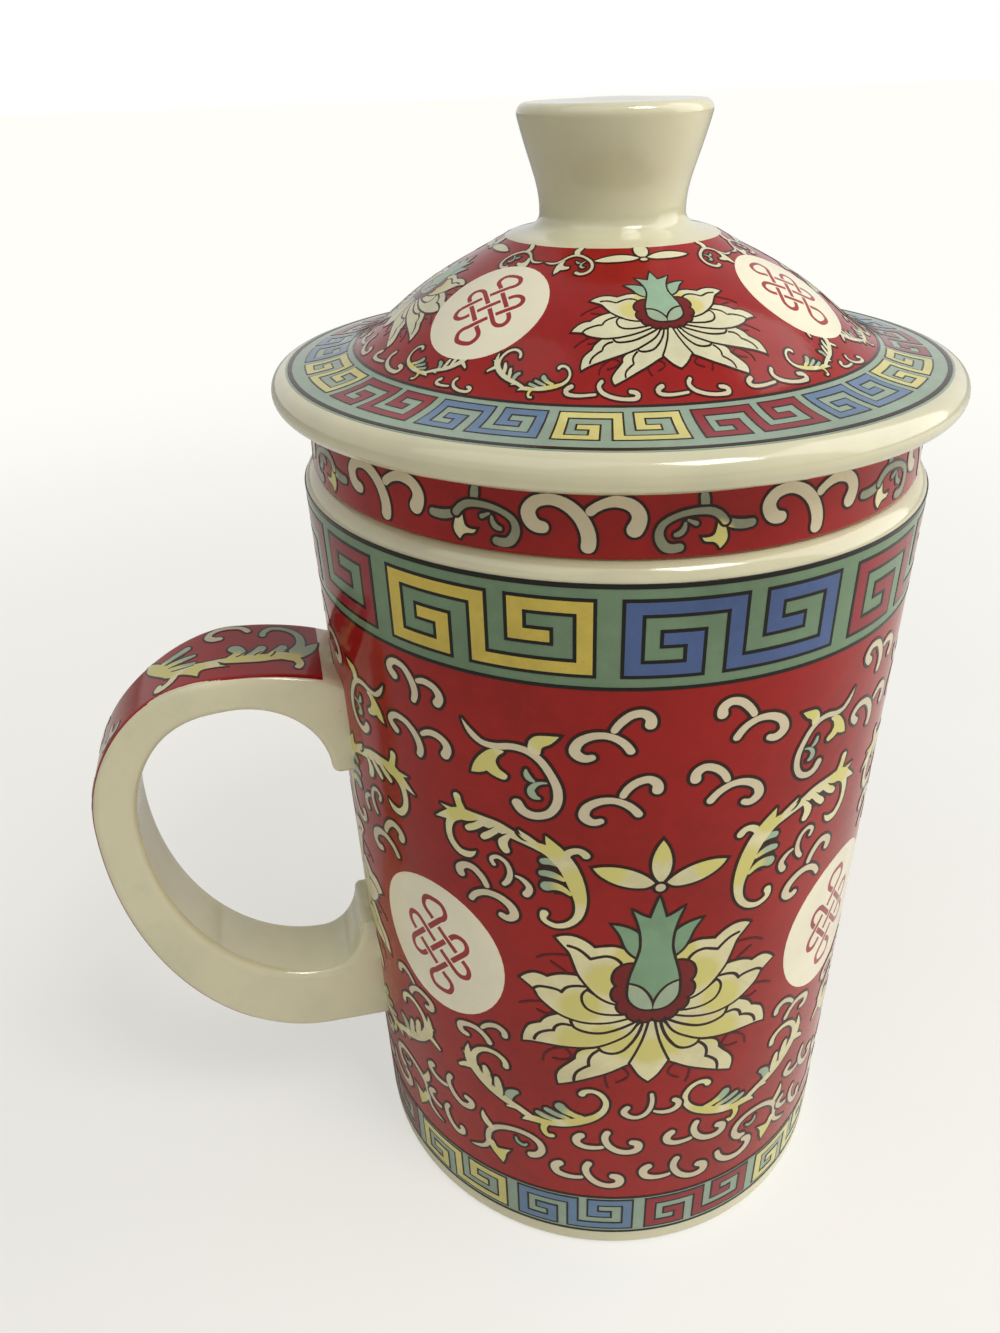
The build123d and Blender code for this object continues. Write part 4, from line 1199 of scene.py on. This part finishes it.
def cup_field():
    """A quarter of the cup's field: a lotus and its bud, scrolls, sprigs, hooks and two half medallions."""
    tile = Tile(FIELD_WIDTH, 10.55, 95.85, ink="brown")
    seam = (-FIELD_WIDTH / 2, 0.0)
    tile.place(GHOST_PETALS)
    tile.place(LOTUS)
    tile.place(BUD)
    for mirror in (False, True):
        for motif in (LOW_ACANTHUS, LOW_SPRIG, HOOKS["shoulder"], HOOKS["hip"]):
            tile.place(motif, mirror=mirror)
    tile.place(HIGH_ACANTHUS)
    tile.place(HIGH_ACANTHUS, at=(0.6, -2.3), scale=(1.0, 1.05), mirror=True)
    tile.place(HIGH_SPRIG)
    tile.place(HIGH_SPRIG, at=(6.5, 16.0), scale=(0.78, 0.82), mirror=True)
    for kind, at in (("upper", (3.2, 0.5)), ("inner", (2.0, 1.0)), ("small", (0.5, 0.7))):
        tile.place(HOOKS[kind])
        tile.place(HOOKS[kind], at=at, mirror=True)
    for kind in ("stem", "row", "foot"):
        tile.place(HOOKS[kind])
    for kind in ("row", "foot"):
        tile.place(HOOKS[kind], at=(12.6, 0.0))
    tile.place(HOOKS["low"])
    for kind in ("crest", "brow", "root", "toe"):
        tile.place(HOOKS[kind], at=seam)
    medallion(tile, (seam[0], 51.05), (10.1, 11.0), (1.0, 1.12))
    return tile


def medallion(tile, middle, radii, scale, orbit=0.0, repeat=True):
    """A cream oval with a red knot in it, swung about the drawing's origin."""
    forms = [("roundel", arc((0.0, 0.0), radii, 0, 360, 48))]
    forms += [(colour, stroke_loop(stroke) @ rotation(45) * scale) for colour, stroke in endless_knot()]
    for colour, loop in forms:
        tile.paint(colour, counterclockwise((loop + middle) @ rotation(orbit)), repeat)


# The grounds of the cup by height and of the lid by radius; each reaches a little under the dark lines.
CUP_GROUNDS = (("ground", 10.5, 95.9), ("celadon", 2.9, 10.6), ("turquoise", 95.8, 108.2))
LID_GROUNDS = (("ground", LID_WRAP, 32.4, 13.1), ("turquoise", BRIM_WRAP, 40.9, 32.2))

# Where each quarter of the lid's field stands round it, and its left and right medallions from its flower.
LID_QUARTERS = ((0, -52.5, 47.0), (90, -43.0, 45.0), (180, -45.0, 45.0), (270, -45.0, 37.5))

# The angle that a key takes on the lid's border, and each colour's first key and number of keys.
BRIM_KEY_TURN = 22.5
BRIM_KEYS = (("yellow", 119.0, 5), ("maroon", 141.5, 5), ("blue", 96.5, 6))

# Where the key unit's upright strokes stand, as shares of its width.
KEY_COLUMNS = (0.034, 0.163, 0.301, 0.483, 0.660, 0.812, 0.963)


def key_unit(tile, colour, middle, width, low, high, across, along, line):
    """One unit of the key pattern: two square spirals joined by a crossbar, with a dark line round them.

    Its upright strokes are 'across' wide and its level ones 'along' thick.
    """
    column = [middle + (share - 0.5) * width for share in KEY_COLUMNS]
    top, base, waist = high - along / 2, low + along / 2, (low + high) / 2
    path = [(column[i], y) for i, y in (
        (1, waist), (2, waist), (2, base), (0, base), (0, top), (3, top),
        (3, base), (6, base), (6, top), (4, top), (4, waist), (5, waist),
    )]
    longer = [(path[0][0] - line, waist)] + path[1:-1] + [(path[-1][0] + line, waist)]
    tile.paint("outline", key_loop(longer, across + 2 * line, along + 2 * line))
    tile.paint(colour, key_loop(path, across, along))


def stripe(tile, middle, width):
    x, y = tile.width / 2 + 2, width / 2
    tile.paint("outline", np.array([(-x, middle - y), (x, middle - y), (x, middle + y), (-x, middle + y)]))


def three_keys(wrap, turn, edges, stripes, colours, **sizes):
    """A repeat of a border on the cup: three key units between two dark lines (height, width)."""
    tile = Tile(math.radians(turn) * wrap, *edges, grid=1.6)
    for middle, width in stripes:
        stripe(tile, middle, width)
    for colour, step in zip(colours, (-1, 0, 1)):
        key_unit(tile, colour, step * tile.width / 3, **sizes)
    return tile


def mouth_border():
    return three_keys(
        MOUTH_WRAP, 120, (95.6, 108.35), ((95.85, 0.42), (108.1, 0.56)), ("yellow", "blue", "maroon"),
        width=24.33, low=97.57, high=106.26, across=1.67, along=1.4, line=0.4,
    )


def foot_border():
    return three_keys(
        FOOT_WRAP, 90, (2.7, 10.8), ((10.55, 0.36), (2.95, 0.36)), ("lemon", "pale_blue", "maroon"),
        width=16.15, low=3.8, high=9.8, across=1.2, along=0.98, line=0.28,
    )


def brim_border(colour, length):
    """A unit of the lid's border; its columns fan out from the lid's axis."""
    tile = Tile(math.radians(BRIM_KEY_TURN) * BRIM_WRAP, length(39.9), length(32.6))
    low, high = length(38.35), length(33.25)
    key_unit(tile, colour, 0.0, width=12.65, low=low, high=high, across=0.92, along=0.86, line=0.2)
    return tile


def brim_lines(length):
    tile = Tile(math.radians(30) * BRIM_WRAP, length(40.95), length(32.1))
    stripe(tile, length(32.3), 0.36)
    stripe(tile, length(40.35), 0.55)
    return tile


def lid_field(lid, left, right):
    """A quarter of the lid's red field, drawn as it is seen from above with its flower's axis pointing down.

    The medallions at its two seams stand at the given angles from the flower.
    """
    length = lid.length_at
    tile = Tile(math.radians(90) * LID_WRAP, length(32.3), length(13.1), grid=1.1, unroll=lid.unroll)
    place = functools.partial(tile.place, line=0.21)
    flower = dict(at=(-0.6, -23.6), anchor=(0.0, 48.0), scale=(0.61, 0.36))
    place(GHOST_PETALS, **flower)
    place(LOTUS, warm=both_sides(LOTUS_WARM[:2]), **flower)
    place(BUD, at=(-0.6, -22.1), anchor=(0.0, 48.0), scale=(0.7, 0.36), warm=())
    for side, mirror in ((1, False), (-1, True)):
        leafy = dict(scale=(0.43, 0.36), mirror=mirror)
        place(HIGH_SPRIG, at=(side * -7.8, -13.2), anchor=(-15.0, 83.5), weight=0.8, warm=(), **leafy)
        place(LOW_ACANTHUS, at=(0.0, -29.4), anchor=(-15.8, 28.5), orbit=side * -33.0, weight=0.85, **leafy)
    row = functools.partial(place, HOOKS["row"], anchor=(-5.0, 22.2))
    for orbit in (0.0, -17.5, 18.5):
        row(at=(0.0, -30.6), scale=(0.85, 0.45), orbit=orbit, weight=0.72)
    row(at=(0.0, -31.2), scale=(0.55, 0.32), orbit=-48.0, weight=0.8)
    for orbit in (left, right):
        medallion(tile, (0.0, -22.5), (7.1, 6.05), (0.77, 0.62), orbit, repeat=False)
    return tile


def collar_band():
    """A fifth of the infuser's band: two double hooks between facing sprigs."""
    tile = Tile(math.radians(72) * COLLAR_RADIUS, 0.75, 7.1)
    place = functools.partial(tile.place, anchor=(0.0, CUP_TOP), line=0.3)
    for x in (0.0, 24.5):
        place(HOOKS["collar"], at=(x, 0.0))
    place(COLLAR_SPRIG)
    place(COLLAR_SPRIG, at=(tile.width - 3.8, 0.0), mirror=True)
    return tile


def strap_tile(strap):
    """The strap's red panel and where it starts, with a scroll at the crown and another below the reach."""
    first, last = 1.0, 92.0
    tile = Tile(last - first, -8.0, 8.0, grid=0.9)
    start = tile.width / 2 + first
    along = np.linspace(2.0, last - 1.5, 60)
    half = strap.half_width(along)
    for inset in (0.5, 0.7, 0.9, EDGE_ROUNDING):  # the steps give the sheet points where the edge is rounded
        edge = half - inset
        panel = np.vstack([np.stack([along, edge], 1), np.stack([along, -edge], 1)[::-1]]) - (start, 0)
        tile.paint("ground", counterclockwise(panel))
    tile.place(STRAP_SCROLL, at=(-start, 0.0), line=0.3)
    tile.place(STRAP_SCROLL, at=(56.0 - start, 0.0), scale=(0.8, 0.62), line=0.28)
    for x in (33.0, 42.5, 51.0, 82.5):
        tile.place(HOOKS["strap"], at=(x - start, 1.6), scale=(0.8, 0.9), line=0.26)
        tile.place(HOOKS["strap"], at=(x + 4.2 - start, -2.6), scale=(0.8, -0.9), line=0.26)
    return tile, start


# ---------------------------------------------------------------- glazes and enamels


def fired(name, colour, warm=None, deep=0.82, pale=1.04, brush=1.0):
    """A glossy fired colour: clouded, streaked by the brush, with a faint ripple and pinholes."""
    material = bpy.data.materials.new(name)
    t = shader_tree(material)
    place = t.node("ShaderNodeTexCoord", out="Object")
    cloud, patch = t.noise(place, 70.0, 3.0), t.noise(place, 420.0, 4.0, 0.6)
    grain = t.noise(place, 2600.0, 2.0)
    base = t.mix(t.smoothstep(cloud, 0.3, 0.7), shade(colour, deep), shade(colour, pale))
    base = t.mix(t.smoothstep(patch, 0.35, 0.75) * (0.35 * brush), base, shade(colour, 1.0 + 0.28 * brush))
    base = t.mix(t.smoothstep(grain, 0.55, 0.8) * (0.22 * brush), base, shade(colour, 0.62))
    if warm:
        heat = t.node("ShaderNodeAttribute", {"attribute_name": "warmth"}, out="Fac")
        base = t.mix(t.smoothstep(heat + patch * 0.3 - 0.15, 0.02, 0.7), base, shade(warm))
    pit = 1.0 - t.smoothstep(t.cells(place, 330.0), 0.02, 0.09)
    ripple = cloud * 0.6 + patch * 0.3 + grain * 0.05 - pit * 0.12
    surface = t.node("ShaderNodeBsdfPrincipled", inputs={
        "Base Color": base, "Roughness": 0.09 + patch * 0.05 + t.smoothstep(cloud, 0.45, 0.75) * 0.03,
        "Normal": t.bump(ripple, 0.35, 0.00025), "IOR": 1.46, "Specular IOR Level": 0.27,
    })
    t.node("ShaderNodeOutputMaterial", inputs={"Surface": surface})
    material.diffuse_color = shade(colour)
    return material


def porcelain(name, colour):
    """Ivory porcelain under a clear glaze: faint cloudy tint, iron specks and a slow ripple."""
    material = bpy.data.materials.new(name)
    t = shader_tree(material)
    place = t.node("ShaderNodeTexCoord", out="Object")
    cloud, patch = t.noise(place, 38.0, 3.0), t.noise(place, 260.0, 3.0, 0.55)
    base = t.mix(t.smoothstep(cloud, 0.3, 0.72), shade(colour, 0.9), shade(colour, 1.06))
    base = t.mix(t.smoothstep(patch, 0.45, 0.8) * 0.3, base, shade(srgb(206, 204, 176)))
    speck = 1.0 - t.smoothstep(t.cells(place, 95.0), 0.01, 0.035)
    iron = speck * t.smoothstep(t.noise(place, 55.0, 0.0), 0.58, 0.64)
    base = t.mix(iron * 0.35, base, shade(srgb(120, 100, 70)))
    surface = t.node("ShaderNodeBsdfPrincipled", inputs={
        "Base Color": base, "Roughness": 0.12 + patch * 0.06,
        "Normal": t.bump(cloud * 0.8 + patch * 0.15, 0.3, 0.0004),
        "Coat Weight": 0.6, "Coat Roughness": 0.06, "IOR": 1.5,
    })
    t.node("ShaderNodeOutputMaterial", inputs={"Surface": surface})
    material.diffuse_color = shade(colour)
    return material


# Each paint's material, its colour in the panel, its look, its piece and its slot.
PAINTS = {
    "ground": ("red_enamel", "red", {}, "red_ground", "red_enamel"),
    "outline": ("outline_enamel", "outline", dict(brush=0.5), "outlines", "outline_enamel"),
    "brown": ("brown_outline_enamel", "brown", dict(brush=0.5), "brown_outlines", "outline_enamel"),
    "turquoise": ("turquoise_enamel", "turquoise", {}, "turquoise_ground", "turquoise_enamel"),
    "celadon": ("celadon_enamel", "celadon", dict(deep=0.88), "celadon_ground", "turquoise_enamel"),
    "yellow": ("key_yellow_enamel", "yellow", dict(deep=0.84), "key_yellow", "yellow_enamel"),
    "lemon": ("pale_key_yellow_enamel", "lemon", dict(deep=0.86), "key_lemon", "yellow_enamel"),
    "blue": ("key_blue_enamel", "blue", {}, "key_blue", "blue_enamel"),
    "pale_blue": ("pale_key_blue_enamel", "pale_blue", dict(deep=0.84), "key_pale_blue", "blue_enamel"),
    "maroon": ("key_red_enamel", "maroon", dict(deep=0.8), "key_red", "maroon_enamel"),
    "cream": ("cream_enamel", "cream", dict(deep=0.88, pale=1.06, brush=0.6), "hooks", "cream_enamel"),
    "roundel": ("medallion_enamel", "roundel", dict(deep=0.92, brush=0.4), "medallions", "cream_enamel"),
    "mark": ("medallion_red_enamel", "mark", dict(deep=0.8), "medallion_knots", "red_enamel"),
    "petal": ("petal_enamel", "blossom", dict(warm="petal", deep=0.86, pale=1.08), "petals", "cream_enamel"),
    "ivory": ("lid_petal_enamel", "ivory", dict(warm="lemon", deep=0.9, pale=1.05), "petals", "cream_enamel"),
    "calyx": ("pale_green_enamel", "calyx", dict(warm="petal", deep=0.85), "leaves", "green_enamel"),
    # Painted shade: the collar's sprigs and pods in a darker calyx green for the shade under the lid's brim.
    "sage": ("sage_enamel", "sage", dict(warm="petal", deep=0.85), "leaves", "green_enamel"),
    "pod": ("pod_green_enamel", "pod", dict(deep=0.85), "pods", "green_enamel"),
    "mint": ("lid_pod_enamel", "mint", dict(deep=0.88), "pods", "green_enamel"),
    "heart": ("flower_heart_enamel", "heart", dict(deep=0.7), "flower_hearts", "maroon_enamel"),
    "ghost": ("ghost_petal_enamel", "ghost", dict(deep=0.8), "hidden_petals", "maroon_enamel"),
}


@functools.cache
def finish(paint):
    """The material of a paint, made once from the panel's colours."""
    hues = bpy.context.scene.tea_mug_colours
    if paint == "glaze":
        return porcelain("porcelain_glaze", tuple(hues.glaze))
    name, hue, look, *_ = PAINTS[paint]
    look = {key: tuple(getattr(hues, value)) if key == "warm" else value for key, value in look.items()}
    return fired(name, tuple(getattr(hues, hue)), **look)


class Paintwork:
    """Collects the wrapped layers of one body by colour and turns each colour into one piece."""

    def __init__(self, prefix, body, line, own=None):
        self.prefix, self.body, self.own = prefix, body, own or {}
        self.line = polyline_curve(prefix + "_line", line)
        self.layers = {}
        sizes = bpy.context.scene.tea_mug_sizes
        self.thin, self.thick, self.sink = (
            length / MM for length in (sizes.ground_lift, sizes.enamel_lift, sizes.enamel_sink)
        )

    def finish(self, colour):
        return finish(self.own.get(colour, colour))

    def lay(self, colour, mesh, tree, settings):
        layer = wrapped(mesh, tree, {"Material": self.finish(colour), **settings})
        self.layers.setdefault(colour, []).append(layer)

    def ring(self, cuts, wrap, copies, half, phase=0.0, step=None, lift=None, warm=()):
        """Lays the colours of a tile round the axis on the turned line."""
        for colour, (points, triangles) in cuts.items():
            mesh = slab(colour, points, triangles, lift or self.thick, self.sink, half, warm)
            self.lay(colour, mesh, ring_tree(), {
                "Profile": self.line, "Copies": copies, "Step": math.radians(step or 360 / copies),
                "Phase": math.radians(phase), "Wrap Radius": wrap * MM, "Axis Offset": AXIS_X * MM,
            })

    def pattern(self, tile, wrap, copies, phase=0.0, step=None, stretch=1.0):
        """Lays a drawn tile, whose heights are stretched into lengths up the line."""
        cuts = {
            colour: (points * (1.0, stretch), triangles) for colour, (points, triangles) in tile.cut().items()
        }
        warm = [(x, y * stretch, radius) for x, y, radius in tile.warm]
        self.ring(cuts, wrap, copies, tile.width / 2, phase, step, warm=warm)

    def ground(self, colour, wrap, low, high, grid=1.6, rows=None):
        """Lays a plain band of ground enamel."""
        tile = Tile(math.radians(360 / GROUND_COPIES) * wrap, low, high, grid)
        self.ring({colour: tile.plain(rows)}, wrap, GROUND_COPIES, tile.width / 2, lift=self.thin)

    def panel(self, tile, start, strap):
        """Lays a drawn tile along the handle's strap."""
        for colour, (points, triangles) in tile.cut().items():
            lift = self.thin if colour == "ground" else self.thick
            mesh = slab(colour, points, triangles, lift, self.sink, warm=tile.warm)
            x, y, _ = np.array([v.co for v in mesh.vertices]).T / MM
            drop, lean = strap.drop(x + start, y)
            write(mesh, "drop", drop * MM)
            write(mesh, "lean", lean)
            self.lay(colour, mesh, strap_tree(), {"Path": self.line, "Start": start * MM})

    def end(self):
        """Makes the pieces and clears away the line that they followed."""
        for colour, layers in self.layers.items():
            *_, suffix, slot = PAINTS[colour]
            enamelled(f"{self.prefix}_{suffix}", layers, self.finish(colour), self.body)
        bpy.data.objects.remove(self.line)


# ---------------------------------------------------------------- operators


class OBJECT_OT_tea_mug_glaze(bpy.types.Operator):
    """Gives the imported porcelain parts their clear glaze"""

    bl_idname = "tea_mug.glaze"
    bl_label = "Porcelain Glaze"

    def execute(self, context):
        for name in ("mug_cup", "mug_handle", "infuser", "lid_dome", "lid_knob"):
            for slot in frame["nodes"][name].material_slots:
                slot.material = finish("glaze")
        return {"FINISHED"}


class OBJECT_OT_tea_mug_cup_paint(bpy.types.Operator):
    """Paints the cup's red field, its lotus ornament and the key borders at its mouth and foot"""

    bl_idname = "tea_mug.cup_paint"
    bl_label = "Cup Enamel"

    def execute(self, context):
        work = Paintwork("mug", "mug", cup_profile())
        slope = math.hypot(1.0, CUP_FLARE / CUP_TOP)
        for colour, low, high in CUP_GROUNDS:
            work.ground(colour, CUP_WRAP, low * slope, high * slope)
        work.pattern(cup_field(), CUP_WRAP, 4, FLOWER_TURN, stretch=slope)
        work.pattern(mouth_border(), MOUTH_WRAP, 3, MOUTH_TURN, stretch=slope)
        work.pattern(foot_border(), FOOT_WRAP, 4, FOOT_TURN, stretch=slope)
        work.end()
        return {"FINISHED"}


class OBJECT_OT_tea_mug_handle_paint(bpy.types.Operator):
    """Paints the red panel along the handle's strap, with its scrolls and hooks"""

    bl_idname = "tea_mug.handle_paint"
    bl_label = "Handle Enamel"

    def execute(self, context):
        strap = StrapLine()
        work = Paintwork("handle", "mug", strap.points * (-1, 1) + (AXIS_X, 0))
        work.panel(*strap_tile(strap), strap)
        work.end()
        return {"FINISHED"}


class OBJECT_OT_tea_mug_infuser_paint(bpy.types.Operator):
    """Paints the infuser's red collar with hooks and sprigs"""

    bl_idname = "tea_mug.infuser_paint"
    bl_label = "Infuser Enamel"

    def execute(self, context):
        # The collar's leaves and pods take the darker green, which is painted shade from the lid's brim.
        own = {"outline": "brown", "calyx": "sage", "pod": "sage"}
        work = Paintwork("infuser", "infuser", collar_profile(), own)
        work.ground("ground", COLLAR_RADIUS, 0.0, 0.64, rows=8)
        work.ground("ground", COLLAR_RADIUS, 0.64, 7.1)
        work.pattern(collar_band(), COLLAR_RADIUS, 5, COLLAR_TURN)
        work.end()
        return {"FINISHED"}


class OBJECT_OT_tea_mug_lid_paint(bpy.types.Operator):
    """Paints the lid's red field, its lotus ornament and the key border along its brim"""

    bl_idname = "tea_mug.lid_paint"
    bl_label = "Lid Enamel"

    def execute(self, context):
        own = {
            "outline": "brown", "turquoise": "celadon", "yellow": "lemon", "blue": "pale_blue", "pod": "mint",
            "petal": "ivory",
        }
        lid = LidLine()
        length = lid.length_at
        work = Paintwork("lid", "lid", lid.points, own)
        for colour, wrap, outer, inner in LID_GROUNDS:
            work.ground(colour, wrap, length(outer), length(inner), grid=1.0)
        for turn, left, right in LID_QUARTERS:
            work.pattern(lid_field(lid, left, right), LID_WRAP, 1, LID_TURN + turn)
        for colour, first, copies in BRIM_KEYS:
            work.pattern(brim_border(colour, length), BRIM_WRAP, copies, first, step=3 * BRIM_KEY_TURN)
        work.pattern(brim_lines(length), BRIM_WRAP, 12)
        work.end()
        return {"FINISHED"}


# Each lamp's place, its target, its sides, all in metres, its power in watts and its tint.
LAMPS = {
    "window_right": ((0.6, -0.1, 0.42), (0.0, 0.0, 0.09), (0.6, 0.8), 2.6, (1.0, 0.99, 0.97)),
    "soft_left": ((-0.42, -0.25, 0.85), (0.0, 0.0, 0.08), (0.8, 0.8), 1.6, (1.0, 0.985, 0.95)),
    "front_top": ((0.28, -0.5, 0.95), (0.0, 0.0, 0.05), (0.35, 0.35), 4.0, (1.0, 0.99, 0.97)),
}
FLOOR_REACH = 6.0  # metres

# The camera's angles are radians, its lens is a focal length and its shift a share of the frame's width.
CAMERA_PLACE = (-28.45, -133.18, 156.04)
CAMERA_HEADING, CAMERA_PITCH, CAMERA_ROLL = 0.18816, 0.427, -0.032
CAMERA_LENS, CAMERA_SHIFT = 29.707, (0.01643, -0.0753)


class OBJECT_OT_tea_mug_stage(bpy.types.Operator):
    """Sets the pale floor, the soft lamps and the camera"""

    bl_idname = "tea_mug.stage"
    bl_label = "Studio"

    def execute(self, context):
        scene = context.scene
        scene.view_settings.view_transform = "Standard"
        self.floor(scene)
        self.world(scene)
        for name, lamp in LAMPS.items():
            self.lamp(scene, name, *lamp)
        self.camera(scene)
        return {"FINISHED"}

    def floor(self, scene):
        mesh = bpy.data.meshes.new("floor")
        corners = [(x * FLOOR_REACH, y * FLOOR_REACH, 0) for x, y in ((-1, -1), (1, -1), (1, 1), (-1, 1))]
        mesh.from_pydata(corners, [], [(0, 1, 2, 3)])
        floor = bpy.data.objects.new("floor", mesh)
        scene.collection.objects.link(floor)
        material = bpy.data.materials.new("pale_floor")
        t = shader_tree(material)
        place = t.node("ShaderNodeTexCoord", out="Object")
        cloud = t.smoothstep(t.noise(place, 9.0, 4.0), 0.3, 0.7)
        tint = t.mix(cloud, (0.93, 0.91, 0.85, 1), (0.96, 0.95, 0.91, 1))
        matt = t.node("ShaderNodeBsdfPrincipled", inputs={"Base Color": tint, "Roughness": 0.6})
        glow = t.node("ShaderNodeEmission", inputs={"Color": (1.0, 0.99, 0.95, 1), "Strength": 1.0})
        seen = t.node("ShaderNodeLightPath", out="Is Camera Ray")
        away = t.node("ShaderNodeVectorMath", {"operation": "LENGTH"}, {0: place}, out="Value")
        share = seen * (0.54 + t.smoothstep(away, 0.1, 0.5) * 0.46)
        blend = t.node("ShaderNodeMixShader", inputs={0: share, 1: matt, 2: glow})
        t.node("ShaderNodeOutputMaterial", inputs={"Surface": blend})
        mesh.materials.append(material)

    def world(self, scene):
        scene.world = bpy.data.worlds.new("studio")
        t = shader_tree(scene.world)
        seen = t.node("ShaderNodeLightPath", out="Is Camera Ray")
        sight = seen + seen.output("Is Glossy Ray") * 0.75
        soft = t.node("ShaderNodeBackground", inputs={"Color": (1.0, 0.99, 0.97, 1), "Strength": 0.18})
        white = t.node("ShaderNodeBackground", inputs={"Color": (1.0, 1.0, 1.0, 1), "Strength": 1.0})
        blend = t.node("ShaderNodeMixShader", inputs={0: sight, 1: soft, 2: white})
        t.node("ShaderNodeOutputWorld", inputs={"Surface": blend})

    def lamp(self, scene, name, place, aim, size, power, tint):
        data = bpy.data.lights.new(name, "AREA")
        data.shape = "RECTANGLE"
        data.size, data.size_y = size
        data.energy = power
        data.color = tint
        lamp = bpy.data.objects.new(name, data)
        lamp.location = place
        lamp.rotation_euler = (Vector(aim) - Vector(place)).to_track_quat("-Z", "Y").to_euler()
        scene.collection.objects.link(lamp)

    def camera(self, scene):
        reach = math.cos(CAMERA_PITCH)
        forward = Vector((
            math.sin(CAMERA_HEADING) * reach, math.cos(CAMERA_HEADING) * reach, -math.sin(CAMERA_PITCH)
        ))
        level = forward.cross(Vector((0, 0, 1))).normalized()
        upright = level.cross(forward)
        right = math.cos(CAMERA_ROLL) * level + math.sin(CAMERA_ROLL) * upright
        top = math.cos(CAMERA_ROLL) * upright - math.sin(CAMERA_ROLL) * level
        data = bpy.data.cameras.new("camera")
        data.sensor_width = 36.0
        data.lens = CAMERA_LENS
        data.shift_x, data.shift_y = CAMERA_SHIFT
        data.clip_start, data.clip_end = 0.01, 50.0
        camera = bpy.data.objects.new("camera", data)
        turn = Matrix((right, top, -forward)).transposed().to_4x4()
        camera.matrix_world = Matrix.Translation(Vector(CAMERA_PLACE) * MM) @ turn
        scene.collection.objects.link(camera)
        scene.camera = camera


STEPS = (
    OBJECT_OT_tea_mug_stage,
    OBJECT_OT_tea_mug_glaze,
    OBJECT_OT_tea_mug_cup_paint,
    OBJECT_OT_tea_mug_handle_paint,
    OBJECT_OT_tea_mug_infuser_paint,
    OBJECT_OT_tea_mug_lid_paint,
)


class VIEW3D_PT_tea_mug(bpy.types.Panel):
    """Lists the mug's steps, sizes and colours"""

    bl_idname = "VIEW3D_PT_tea_mug"
    bl_label = "Tea Mug"
    bl_space_type = "VIEW_3D"
    bl_region_type = "UI"
    bl_category = "Tea Mug"

    def draw(self, context):
        layout = self.layout
        for step in STEPS:
            layout.operator(step.bl_idname)
        for group in (context.scene.tea_mug_sizes, context.scene.tea_mug_colours):
            box = layout.box()
            for name in group.bl_rna.properties.keys():
                if name not in ("rna_type", "name"):
                    box.prop(group, name)


CLASSES = (MugColours, MugSizes) + STEPS + (VIEW3D_PT_tea_mug,)


def register():
    for cls in CLASSES:
        bpy.utils.register_class(cls)
    bpy.types.Scene.tea_mug_colours = bpy.props.PointerProperty(type=MugColours)
    bpy.types.Scene.tea_mug_sizes = bpy.props.PointerProperty(type=MugSizes)


def unregister():
    del bpy.types.Scene.tea_mug_sizes
    del bpy.types.Scene.tea_mug_colours
    for cls in reversed(CLASSES):
        bpy.utils.unregister_class(cls)
    for made in (finish, ring_tree, strap_tree):
        made.cache_clear()


def main():
    register()
    bpy.ops.tea_mug.stage()
    bpy.ops.tea_mug.glaze()
    bpy.ops.tea_mug.cup_paint()
    bpy.ops.tea_mug.handle_paint()
    bpy.ops.tea_mug.infuser_paint()
    bpy.ops.tea_mug.lid_paint()


if __name__ == "__main__":
    main()
